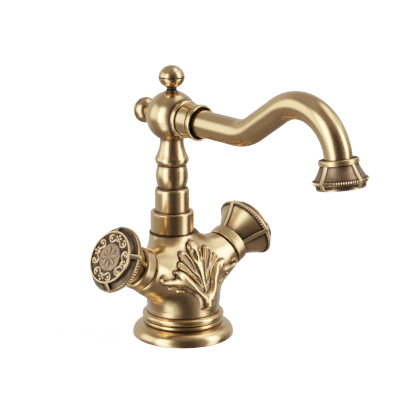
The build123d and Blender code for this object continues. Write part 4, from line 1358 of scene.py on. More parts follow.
@dataclass
class RibbedBell:
    """Ribbed bell of the handles and the nozzle: its outline, its tones, its beads and its ribs.

    From its start up it has a plain ring, a flare, a row of beads round its mouth and a cove below its rim.
    A fade is a stretch of height, counted from the level at which a tone comes or goes.
    """

    ring_r: float
    ring_h: float
    neck_r: float
    flare_h: float
    mouth_r: float
    bead_r: float
    rim_h: float
    rim_r: float
    rib_w: float
    rib_h: float
    panel_dark: float
    border: float
    start: float = 0.0
    turn: float = 0.0
    ledge: float = 0.85
    lip: float = 1.0
    lip_w: float = 0.9
    ring_edge: float = 0.5
    shoulder_curve: Points = ((0.0, 0.45), (0.35, 0.1))
    flare_sag: float = 0.07
    seat_share: float = 0.1
    edge_share: float = 0.4
    edge_lift: float = 0.1
    cove_lip: float = 0.7
    cove_start: Point = (0.45, 0.75)
    cove_middle: Point = (0.1, 0.45)
    rim_land: float = 1.1
    shoulder_fade: Point = (-0.2, 0.1)
    flare_fade: Point = (-0.2, 0.0)
    cove_fade: Point = (0.1, 0.5)
    rim_fade: Point = (-1.3, -1.0)
    slack: float = 0.05
    inside_gap: float = 0.5
    lip_inset: float = 0.7
    gap_share: float = 0.25
    border_power: float = 3.0
    border_haze: float = 2.6
    haze_dark: float = 0.6
    recess_dark: float = 0.75
    cove_dark: float = 0.75
    rim_dark: float = 0.0
    bead_count: int = 72
    bead_facets: tuple[int, int] = (10, 6)
    bead_out: float = 0.2
    bead_deep: float = 0.9
    bead_fill: float = 0.42
    bead_sink: float = 0.2
    bead_bright: float = 0.6
    rib_count: int = 4
    rib_section: Points = ((0.0, 1.0), (0.4, 0.97), (0.8, 0.86), (1.0, 0.72), (1.0, 0.0))
    rib_stretch: Point = (-0.02, -0.1)
    rib_foot: float = 1.0
    rib_crest: float = 0.95
    rib_corner: Point = (0.35, 0.05)
    rib_end: Point = (0.1, 0.4)
    rib_sunk: float = 1.2
    rib_dip: float = 0.5
    rib_dip_w: float = 1.5
    rib_tips: Point = (0.3, 0.25)
    rib_side_dark: float = 0.95
    rib_wander: float = 0.05

    def __post_init__(self) -> None:
        """Adds up the heights at which the ring, the flare, the beads, their seat and the bell end."""
        self.shoulder = self.start + self.ring_h
        self.flare_top = self.shoulder + self.flare_h
        self.bead_top = self.flare_top + 2 * self.bead_r
        self.bead_seat = self.bead_top - self.ledge * self.bead_r
        self.top = self.bead_top + self.rim_h

    def outer(self, inside_r: float) -> Outline:
        """Draws the bell's outside, from the ring's inner edge to the rim.

        Args:
            inside_r: Radius at which the outline starts.

        Returns:
            The outline.
        """
        low, step, cove = self.start, self.ring_r - self.neck_r, self.mouth_r - self.rim_r
        seat_r = self.mouth_r + self.seat_share * self.bead_r
        edge_r = self.mouth_r + self.edge_share * self.bead_r
        sag = ((self.neck_r + self.mouth_r) / 2, self.shoulder + self.flare_h * (0.5 + self.flare_sag))
        start_in, start_rise = self.cove_start
        mid_out, mid_rise = self.cove_middle
        curve = self.shoulder_curve
        shoulder = ((self.ring_r - inward * step, self.shoulder - down * step) for inward, down in curve)
        return Outline(
            (inside_r, low + self.lip), (self.ring_r - self.lip_w, low), (self.ring_r - self.ring_edge, low),
            (self.ring_r, low + self.ring_edge), *shoulder, (self.neck_r, self.shoulder),
            Arc(sag, (self.mouth_r, self.flare_top)), (seat_r, self.flare_top), (seat_r, self.bead_seat),
            (edge_r, self.bead_seat + self.edge_lift), (edge_r, self.bead_top),
            (self.mouth_r, self.bead_top + self.cove_lip),
            (self.mouth_r - start_in * cove, self.bead_top + start_rise),
            Arc((self.rim_r + mid_out * cove, self.bead_top + mid_rise * self.rim_h),
                (self.rim_r, self.top - self.rim_land)), (self.rim_r, self.top))

    def tone(self, ring: Ring) -> Array:
        """Darkens the panels between the ribs and the cove, most along their borders, with patina and painted
        shade, and blackens the gaps between the beads and the mouth of the ring with painted shadow.

        Args:
            ring: Points of the bell.

        Returns:
            Darkness of each point.
        """
        radius, height = ring.radius, ring.height
        on_flare = smooth_step(*self.shoulder_fade, height - self.shoulder)
        on_flare = on_flare * (1 - smooth_step(*self.flare_fade, height - self.flare_top))
        on_cove = smooth_step(*self.cove_fade, height - self.bead_top)
        on_cove = on_cove * (1 - smooth_step(*self.rim_fade, height - self.top))
        spacing = math.tau / self.rib_count
        offset = (ring.angle - math.radians(self.turn) + spacing / 2) % spacing - spacing / 2
        from_rib = np.clip(np.abs(offset) * radius - self.rib_w / 2, 0, None)
        from_flare = self.border + np.abs(height - self.flare_top)
        nearest = np.minimum.reduce([from_rib, np.abs(height - self.shoulder), from_flare])
        haze = self.haze_dark * np.exp(-nearest / self.border_haze)
        edging = np.maximum(np.exp(-(nearest / self.border) ** self.border_power), haze)
        tones = [self.recess_dark * ring.dark, self.rim_dark * (height > self.bead_top + self.cove_lip)]
        for here, dark in ((on_flare, self.panel_dark), (on_cove, self.cove_dark)):
            tones.append(here * (dark + (1 - dark) * edging) * (radius > self.neck_r - self.inside_gap))
        # Painted shadow: the gaps between the beads and the mouth of the ring are black.
        between = (height > self.flare_top - self.slack) & (height < self.bead_seat + self.slack)
        between &= radius < self.mouth_r + self.gap_share * self.bead_r
        mouth = (height < self.start + self.lip + 2 * self.slack) & (radius < self.ring_r - self.lip_inset)
        return np.where(between | mouth, 1.0, np.clip(np.maximum.reduce(tones), 0, 1))

    def bead(self) -> Mesh:
        """Makes one oblong bead of the row.

        Returns:
            The mesh in metres.
        """
        segments, rows = self.bead_facets
        half_w = self.bead_fill * math.tau * self.mouth_r / self.bead_count
        half_h = self.bead_r * (1 - self.bead_sink * self.ledge)
        rings, patina = [], []
        for row in range(rows + 1):
            polar = math.pi * (1 - row / rows)
            turn = math.tau * np.arange(segments if 0 < row < rows else 1) / segments
            out, across = math.sin(polar) * np.cos(turn), math.sin(polar) * np.sin(turn)
            rings.append(np.column_stack([
                self.mouth_r + self.bead_r * (self.bead_out + self.bead_deep * out), half_w * across,
                np.full(len(turn), self.flare_top + half_h * (1 + math.cos(polar)))]))
            # Each bead is darkened on its sides and back, patina and painted shade between the crowded beads, and
            # stays bright on its outer face.
            patina.append(np.clip(self.bead_bright - out, 0, 1))
        return ring_mesh("bead", rings, patina)

    def rib(self) -> Mesh:
        """Makes one convex rib from the ring over the beads to the rim.

        Returns:
            The mesh in metres.
        """
        line = self.outer(self.neck_r).rounded(0.2, loop=False, longest=1.2)
        first, last = self.rib_stretch
        flare = line[(line[:, 1] >= self.shoulder + first) & (line[:, 1] < self.flare_top + last)]
        foot = (self.ring_r - self.rib_h, self.shoulder - self.rib_foot)
        crest = (self.mouth_r + self.rib_crest * self.bead_r, self.flare_top + self.bead_r)
        corner = (self.mouth_r + self.rib_corner[0] * self.bead_r, self.bead_top + self.rib_corner[1])
        end = (self.rim_r - self.rib_end[0], self.top - self.rib_end[1])
        spine = np.vstack([foot, flare, crest, corner, end])
        travel = np.gradient(spine, axis=0)
        travel /= np.linalg.norm(travel, axis=1, keepdims=True)
        out = np.stack([travel[:, 1], -travel[:, 0]], axis=1)
        dip = np.clip(1 - np.abs(spine[:, 1] - crest[1]) / (self.rib_dip_w * self.bead_r), 0, 1)
        proud = 1 - self.rib_dip * dip
        proud[[0, -1]] = self.rib_tips
        raised = spine + out * self.rib_h * proud[:, None]
        sunk = spine - out * self.rib_sunk
        half = [(-across, share) for across, share in self.rib_section[:0:-1]]
        across, share = np.array([*half, *self.rib_section]).T
        count, rows = len(share), len(spine)
        places = sunk[:, None] * (1 - share[:, None]) + raised[:, None] * share[:, None]
        sideways = np.tile(across * self.rib_w / 2, rows)
        points = np.column_stack([places[..., 0].ravel(), sideways, places[..., 1].ravel()])
        faces = skin_over([count] * rows)
        faces += [tuple(range(count))[::-1], tuple(range(len(points) - count, len(points)))]
        # The rib's sides are dark down to where it meets the bell: patina and painted shade.
        patina = np.tile(np.where(share < 0.5, self.rib_side_dark, 0.0), rows)
        run = np.repeat(np.arange(rows), count)
        brush = np.column_stack([sideways, self.rib_wander * run, np.zeros(len(points))])
        return write_mesh("rib", points * MM, faces, patina, brush)

    def ornament(self, name: str, place: Place, body: str, shop: Workshop) -> None:
        """Puts the row of beads and the ribs into the scene.

        Args:
            name: Start of the pieces' names.
            place: Where the bell stands.
            body: Body that the pieces move with.
            shop: What the sub-assemblies share.
        """
        beads = ("beads", self.bead(), self.bead_count, Brass.BEADS)
        ribs = ("ribs", self.rib(), self.rib_count, Brass.RIBS)
        for kind, source, count, finish in (beads, ribs):
            mesh = shop.repeat(source, count, self.turn, finish, f"{name}_{kind}")
            mesh.transform(place.metres())
            show(mesh, f"{name}_{kind}", body)


@dataclass
class RibbedHandle:
    """One handle: a ribbed bell with a beaded ring and a round face of scrolls about a medallion.

    Half a scroll is (along, outward) points from its group's middle, and a berry (along, outward, radius).
    The medallion's edge is (inwards, down) points, and a petal's section is in shares of its size.
    """

    side: Side
    bell: RibbedBell
    place: Place
    face_rim_w: float = 1.1
    face_recess: float = 0.9
    floor_dark: float = 0.86
    floor_near: float = 0.3
    bore: Point = (6.05, 19.8)
    socket: Points = ((3.95, 19.8), (3.95, 11.3), (6.7, 11.3), (6.7, 5.3), (12.8, 5.3))
    medal_r: float = 9.5
    medal_t: float = 1.4
    medal_edge: Points = ((0.0, 0.9), (0.6, 0.45), (2.0, 0.4))
    medal_plug: Point = (5.9, 2.4)
    medal_dark: float = 0.48
    scroll_count: int = 4
    scroll_r: float = 13.05
    scroll_turn: float = 67.0
    scroll_fill: float = 0.9
    stroke_r: float = 0.75
    stroke_sides: int = 8
    stroke_darkening: float = 0.75
    scroll_half: Points = (
        (0.0, -1.7), (1.7, -0.9), (3.4, -1.7), (5.2, -2.6), (7.2, -2.1), (8.2, -0.2), (7.4, 1.8), (5.7, 2.3),
        (4.6, 1.3))
    berries: Spots = (
        (-6.1, 0.0, 1.25), (6.1, 0.0, 1.25), (0.0, 2.2, 1.1), (-1.85, 1.0, 1.05), (1.85, 1.0, 1.05),
        (0.0, 0.0, 0.95))
    berry_facets: tuple[int, int] = (10, 6)
    petals: int = 8
    petal_reach: Point = (1.2, 7.6)
    petal_w: float = 3.2
    petal_h: float = 0.8
    petal_rows: int = 9
    petal_section: Points = (
        (1.0, 0.0), (0.6, 0.75), (0.0, 0.55), (-0.6, 0.75), (-1.0, 0.0), (0.0, -0.4))
    petal_dark: float = 0.85
    petal_bright: float = 0.7
    petal_fullness: float = 0.8
    petal_belly: float = 1.3

    def __post_init__(self) -> None:
        """Names the body that it moves with, and finds the face's sunk floor and the medallion's field."""
        self.body = f"{self.side.value}_handle"
        self.floor = self.bell.top - self.face_recess
        self.floor_r = self.bell.rim_r - self.face_rim_w
        self.medal_field = self.floor + self.medal_t - self.medal_edge[-1][1]

    def tone(self, ring: Ring) -> Array:
        """Darkens the bell and the floor of its face."""
        on_floor = np.abs(ring.height - self.floor) < self.floor_near
        on_floor &= ring.radius < self.floor_r + self.bell.slack
        return np.where(on_floor, self.floor_dark, self.bell.tone(ring))

    def turned_bell(self) -> Turned:
        """Draws the bell with its face rim, sunk floor and the hollow for the valve.

        Returns:
            The turned piece.
        """
        outline = Outline(
            *self.bell.outer(self.socket[-1][0]).points, (self.floor_r, self.bell.top),
            (self.floor_r, self.floor), (self.bore[0], self.floor), self.bore, *self.socket)
        return Turned(outline, loop=True, rounding=0.22, sides=160, tone=self.tone)

    def polar(self, points: Array) -> Array:
        """Lays (along, outward) points of a scroll group on the floor of the face, in metres."""
        spots = (self.scroll_r + points[:, 1]) * np.exp(1j * points[:, 0] / self.scroll_r)
        return np.column_stack([spots.real, spots.imag, np.zeros(len(points))]) * MM

    def scrolls(self, shop: Workshop) -> Mesh:
        """Makes the groups of two scrolls with eyes and berries between them, in relief on the face.

        Args:
            shop: What the sub-assemblies share.

        Returns:
            The finished mesh.
        """
        finish = shop.finish[Brass.BEADS]
        half = curve_through(self.scroll_half, 7)
        line = np.vstack([half[::-1] * (-1, 1), half[1:]])
        strokes = shop.tube.cook(line_mesh("scroll_line", self.polar(line)), {
            "Radius": self.stroke_r * MM, "Sides": self.stroke_sides,
            "Patina Height": self.stroke_darkening * self.stroke_r * MM, "Finish": finish}, "scroll_stroke")
        spots = np.array(self.berries)
        seats = bpy.data.meshes.new("berry_seats")
        seats.from_pydata(self.polar(spots[:, :2]).tolist(), [], [])
        size = seats.attributes.new("size", "FLOAT", "POINT")
        size.data.foreach_set("value", (spots[:, 2] * MM).astype(np.float32))
        segments, rings = self.berry_facets
        berries = shop.cluster.cook(seats, {
            "Segments": segments, "Rings": rings, "Finish": finish}, "scroll_berries")
        mesh = shop.repeat(
            joined("scroll_group", strokes, berries), self.scroll_count, self.bell.turn + self.scroll_turn,
            Brass.BEADS, f"face_scrolls_{self.side.value}")
        flatten = Matrix.Diagonal((1, 1, self.scroll_fill * self.face_recess / (2 * self.stroke_r), 1))
        mesh.transform(self.place.raised(self.floor).metres() @ flatten)
        return mesh

    def medallion(self) -> Turned:
        """Draws the round medallion with a flat field and a plug below.

        Returns:
            The turned piece.
        """
        plug_r, plug_h = self.medal_plug
        low, top = self.floor, self.floor + self.medal_t
        edge = ((self.medal_r - inward, top - down) for inward, down in self.medal_edge)
        outline = Outline(
            (0, low - plug_h), (plug_r, low - plug_h), (plug_r, low), (self.medal_r, low), *edge,
            (0, self.medal_field))
        return Turned(outline, rounding=0.3, sides=96, dark_gain=1.4, tone=self.medal_tone)

    def medal_tone(self, ring: Ring) -> Array:
        """Leaves a brown bloom on the medallion."""
        return np.maximum(ring.dark, self.medal_dark)

    def petal(self) -> Mesh:
        """Makes one pointed petal of the rosette.

        Returns:
            The mesh in metres.
        """
        inner, outer = self.petal_reach
        offset, lift = np.array(self.petal_section).T
        rings, patina = [np.array([[inner, 0.0, 0.0]])], [np.array([self.petal_dark])]
        for part in np.linspace(0, 1, self.petal_rows)[1:-1]:
            half = self.petal_w / 2 * math.sin(math.pi * part ** self.petal_belly) ** self.petal_fullness
            rise = self.petal_h * math.sqrt(math.sin(math.pi * part))
            along = np.full(len(lift), inner + (outer - inner) * part)
            rings.append(np.column_stack([along, half * offset, rise * lift]))
            patina.append(np.clip(self.petal_dark - self.petal_bright * lift, 0, 1))
        rings.append(np.array([[outer, 0.0, 0.0]]))
        patina.append(patina[0])
        return ring_mesh("petal", rings, patina)

    def build(self, shop: Workshop) -> None:
        """Builds the handle's pieces and puts them into the scene.

        Args:
            shop: What the sub-assemblies share.
        """
        side, brass, medal = self.side.value, shop.finish[Brass.HANDLE], shop.finish[Brass.MEDALLION]
        self.turned_bell().put(f"handle_bell_{side}", self.place, brass, self.body, f"handle_{side}")
        self.bell.ornament(f"handle_{side}", self.place, self.body, shop)
        show(self.scrolls(shop), f"face_scrolls_{side}", self.body)
        self.medallion().put(f"medallion_{side}", self.place, medal, self.body, f"handle_cap_{side}")
        rosette = shop.repeat(self.petal(), self.petals, self.bell.turn, Brass.MEDALLION, f"rosette_{side}")
        rosette.transform(self.place.raised(self.medal_field).metres())
        show(rosette, f"rosette_{side}", self.body)


@dataclass
class TurnedColumn:
    """Base, collar and the turned column that carries the ball.

    Heights of the base count from the deck, and those of the collar and the column from the collar's top.
    """

    axis_y: float
    neck_z: float
    collar_z: float
    spigot_z: float
    thrust_z: float
    base_line: Profile = (
        (20.05, 0.0), (33.4, 0.0), (34.0, 0.6), (34.0, 2.6), Arc((31.75, 6.9), (27.5, 8.75)), (26.2, 8.9),
        (25.7, 9.4), Arc((26.5, 10.7), (25.7, 12.0)), (25.0, 12.3), Arc((27.6, 14.8), (25.0, 17.3)),
        (20.05, 17.4))
    collar_bore: float = 13.3
    collar_r: float = 14.7
    collar_edge: Point = (0.4, 0.5)
    collar_line: Profile = (
        (collar_r, -0.9), (14.0, -0.1), (13.0, 0.0), (11.95, -0.3), (11.8, -3.0), (collar_bore, -3.0))
    collar_seam: Point = (0.35, 1.0)
    spigot_r: float = 8.4
    flange_r: float = 13.0
    flange_t: float = 3.6
    barrel_r: float = 11.7
    top_r: float = 8.0
    column_line: Profile = (
        (barrel_r, 13.1), Arc((11.1, 15.1), (9.75, 16.2), 6), (9.65, 16.5), Arc((11.0, 23.9), (9.65, 31.3)),
        (9.75, 31.7), Arc((11.4, 35.7), (10.7, 37.6)), Arc((8.6, 43.4), (top_r, 49.3)), (6.8, 50.2),
        (0.0, 50.2))
    # Bands of painted shade where the column leaves the collar and meets the ball, and of patina and painted shade
    # in its grooves.
    column_seams: Spots = (
        (0.0, 0.9, 1.0), (16.3, 0.8, 0.95), (31.5, 0.7, 0.9), (38.0, 0.5, 0.35), (49.5, 1.4, 0.75))

    def base(self) -> Turned:
        """Cover ring with a domed skirt, a small ring and a large bead."""
        return Turned(Outline(*self.base_line), loop=True, rounding=0.3, sides=160, reach=3.0)

    def collar(self) -> Turned:
        """Draws the plain round nut on the neck.

        Returns:
            The turned piece.
        """
        low = self.neck_z - self.collar_z
        inward, up = self.collar_edge
        outline = Outline(
            (self.collar_bore, low), (self.collar_r - inward, low), (self.collar_r, low + up),
            *self.collar_line)
        # Painted shade where the collar sits on the body's neck.
        seams = ((low, *self.collar_seam),)
        return Turned(outline, loop=True, sides=128, reach=2.0, dark_gain=1.2, seams=seams)

    def column(self) -> Turned:
        """Draws the spigot, foot, barrel, drum, ridge and taper.

        Returns:
            The turned piece.
        """
        end, thrust = self.spigot_z - self.collar_z, self.thrust_z - self.collar_z
        outline = Outline(
            (0, end), (self.spigot_r, end), (self.spigot_r, thrust), (self.flange_r, thrust),
            (self.flange_r, thrust + self.flange_t), (self.barrel_r, thrust + self.flange_t),
            *self.column_line)
        return Turned(outline, sides=112, reach=2.6, seams=self.column_seams)

    def build(self, shop: Workshop) -> None:
        """Puts base, collar and column into the scene.

        Args:
            shop: What the sub-assemblies share.
        """
        brass, axis = shop.finish[Brass.TURNED], Place((0, self.axis_y, self.collar_z))
        self.base().put("base_skirt", Place(), brass, "body", "base_flange")
        self.collar().put("collar", axis, brass, "body", "collar_nut")
        self.column().put("column", axis, brass, "spout", "spout_column")


@dataclass
class SpoutAssembly:
    """Ball, finials, socket, bent tube and nozzle, which turn together on the column.

    Heights of the knobs and the socket count from where they meet the ball, and the socket's mouth is given
    from its end down. A seat is what the ball carries there and its radius.
    """

    centre: Spot
    nozzle: RibbedBell
    ball_r: float
    dip: float = math.radians(1.0)
    rise: float = math.radians(34.4)
    drop: float = math.radians(80.9)
    socket_end: float = 28.92
    tube_seat: float = 9.0
    tube_r: float = 9.0
    tube_sides: int = 72
    tube_in_nozzle: float = 7.5
    run: float = 32.4
    run_step: float = 2.5
    rise_r: float = 28.0
    climb: float = 27.3
    crest_r: float = 32.65
    bend_step: float = 3.0
    seats: tuple[tuple[str, float], ...] = (("down", 8.0), ("ahead", 12.7), ("up", 4.2), ("back", 4.2))
    seat_haze: float = 0.9
    seat_dark: float = 0.85
    knob_r: float = 4.2
    knob_line: Profile = (
        (0.0, -2.0), (knob_r, -2.0), (knob_r, 0.2), Arc((3.45, 1.7), (3.9, 2.9), 6),
        Arc((7.5, 5.4), (8.85, 9.3)), (8.3, 9.4), (8.3, 10.1), (8.85, 10.2),
        Arc((6.37, 14.8), (0.0, 17.4), 16))
    # Painted shade on the knob's neck by the ball, and patina and painted shade in its groove.
    knob_seams: Spots = ((1.4, 1.6, 1.3), (9.75, 0.3, 1.0))
    socket_seat: float = 12.4
    socket_line: Profile = (
        (0.0, -3.0), (7.0, -3.0), (7.0, 0.0), (12.3, -0.2), Arc((12.95, 1.6), (12.3, 3.4), 8), (10.9, 3.6),
        (10.9, 4.2), (11.6, 4.4), (11.6, 12.6), (10.9, 12.8), (10.9, 13.4), (11.7, 13.6))
    socket_lip: Point = (12.25, 15.2)
    socket_lip_r: float = 11.9
    socket_mouth: Points = ((11.0, 0.0), (10.4, 0.5), (10.4, 2.0), (0.0, 2.0))
    socket_shade: Point = (10.9, 2.1)
    cup_edge: Points = ((12.3, 0.0), (11.6, 0.6))
    cup_floor: Point = (11.55, 9.0)
    water_r: float = 7.5
    tube_gap: float = 0.05

    def ways(self) -> dict[str, Spot]:
        """Directions from the ball to what it carries."""
        ahead = (0, -math.cos(self.dip), -math.sin(self.dip))
        return {"down": (0, 0, -1), "up": (0, 0, 1), "back": (0, 1, 0), "ahead": ahead}

    def seat(self, way: str, radius: float) -> Place:
        """Place where a piece of a radius meets the ball, with Z along its way."""
        return Place(self.centre, self.ways()[way]).raised(math.sqrt(self.ball_r ** 2 - radius ** 2))

    @property
    def socket_h(self) -> float:
        """Length of the socket from where it meets the ball."""
        return self.socket_end - math.sqrt(self.ball_r ** 2 - self.socket_seat ** 2)

    def route(self) -> tuple[list[complex], int]:
        """Draws the centre line of the tube in the spout's upright plane, as straight legs and bends.

        Returns:
            Points ahead of the ball's centre and, as imaginary part, above it, and which starts the nozzle.
        """
        heading = -self.dip
        line = [cmath.rect(self.socket_end - self.tube_seat, heading)]
        for length, bend_r, turn in (
                (self.tube_seat + self.run, self.rise_r, self.dip + self.rise),
                (self.climb, self.crest_r, -self.rise - self.drop), (self.tube_in_nozzle, 0.0, 0.0)):
            mark = len(line) - 1
            start = line[mark]
            steps = max(1, round(length / self.run_step))
            line.extend(start + cmath.rect(length * step / steps, heading) for step in range(1, steps + 1))
            arm = cmath.rect(bend_r, heading - math.copysign(math.pi / 2, turn))
            middle = line[-1] - arm
            steps = math.ceil(abs(math.degrees(turn)) / self.bend_step)
            line.extend(middle + arm * cmath.rect(1.0, turn * step / steps) for step in range(1, steps + 1))
            heading += turn
        return line, mark

    def in_frame(self, point: complex) -> Spot:
        """Place in the faucet's frame of a point in the spout's upright plane."""
        return (0.0, self.centre[1] - point.real, self.centre[2] + point.imag)

    def ball(self) -> Turned:
        """Draws the ball."""
        outline = Outline((0, -self.ball_r), Arc((self.ball_r, 0), (0, self.ball_r), 48))
        return Turned(outline, sides=112, tone=self.ball_tone)

    def ball_tone(self, ring: Ring) -> Array:
        """Darkens the ball round the seats of what it carries, painted shade where they meet it.

        Args:
            ring: Points of the ball.

        Returns:
            Darkness of each point.
        """
        x, y = ring.radius * np.cos(ring.angle), ring.radius * np.sin(ring.angle)
        points = np.column_stack([x, y, ring.height])
        dark = ring.dark
        for name, seat_r in self.seats:
            along = points @ np.array(self.ways()[name])
            from_axis = np.sqrt(np.clip(self.ball_r ** 2 - along ** 2, 0, None))
            near = np.exp(-np.clip(from_axis - seat_r, 0, None) / self.seat_haze) * (along > 0)
            dark = np.maximum(dark, self.seat_dark * near)
        return dark

    def finial(self) -> Turned:
        """Knob on a short dark neck, painted shade where it meets the ball, with a groove round its widest part.
        """
        return Turned(
            Outline(*self.knob_line), rounding=0.12, sides=96, reach=2.4, dark_gain=2.6,
            seams=self.knob_seams)

    def socket(self) -> Turned:
        """Draws the socket with two grooves and a dark recess round the tube.

        Returns:
            The turned piece.
        """
        end = self.socket_h
        mouth = ((radius, end - deep) for radius, deep in self.socket_mouth)
        outline = Outline(*self.socket_line, Arc(self.socket_lip, (self.socket_lip_r, end)), *mouth)
        return Turned(outline, rounding=0.2, sides=112, reach=2.2, dark_gain=2.8, tone=self.socket_tone)

    def socket_tone(self, ring: Ring) -> Array:
        """Blackens the recess round the tube with painted shadow."""
        radius, deep = self.socket_shade
        return np.where((ring.radius < radius) & (ring.height > self.socket_h - deep), 1.0, ring.dark)

    def outlet(self) -> Turned:
        """Draws the outlet bell with its seat for the tube and its cup for the aerator.

        Returns:
            The turned piece.
        """
        seat_r, seat_h, floor_h = self.tube_r + self.tube_gap, self.tube_in_nozzle, self.cup_floor[1]
        cup = ((radius, self.nozzle.top - deep) for radius, deep in self.cup_edge)
        outline = Outline(
            *self.nozzle.outer(seat_r).points, *cup, self.cup_floor, (self.water_r, floor_h),
            (self.water_r, seat_h), (seat_r, seat_h))
        return Turned(outline, loop=True, rounding=0.2, sides=128, tone=self.nozzle.tone)

    def build(self, shop: Workshop) -> None:
        """Builds the spout's pieces and puts them into the scene.

        Args:
            shop: What the sub-assemblies share.
        """
        brass = shop.finish[Brass.TURNED]
        self.ball().put("ball", Place(self.centre), brass, "spout", "hub_ball")
        for way, node in (("up", "top_finial"), ("back", "rear_finial")):
            self.finial().put("knob_" + node, self.seat(way, self.knob_r), brass, "spout", node)
        self.socket().put("socket", self.seat("ahead", self.socket_seat), brass, "spout", "spout_socket")
        points, mark = self.route()
        line = line_mesh("spout_line", np.array([self.in_frame(point) for point in points]) * MM)
        mesh = shop.tube.cook(line, {
            "Radius": self.tube_r * MM, "Sides": self.tube_sides, "Patina Height": NO_DARKENING * MM,
            "Finish": shop.finish[Brass.TUBE]}, "spout")
        show(mesh, "spout", "spout", stands_for=("spout_tube",))
        way = points[-1] - points[mark]
        place = Place(self.in_frame(points[mark]), (0.0, -way.real, way.imag))
        self.outlet().put("nozzle", place, shop.finish[Brass.HANDLE], "spout", "nozzle_bell")
        self.nozzle.ornament("nozzle", place, "spout", shop)


@dataclass(frozen=True)
class Card:
    """A soft card of light seen from the faucet, in degrees: bearing from the camera's side, then height.

    A card with a glow below 0 takes light away, as a black card does.
    """

    name: str
    bearing: float
    half_width: float
    low: float
    high: float
    soft: float
    glow: float


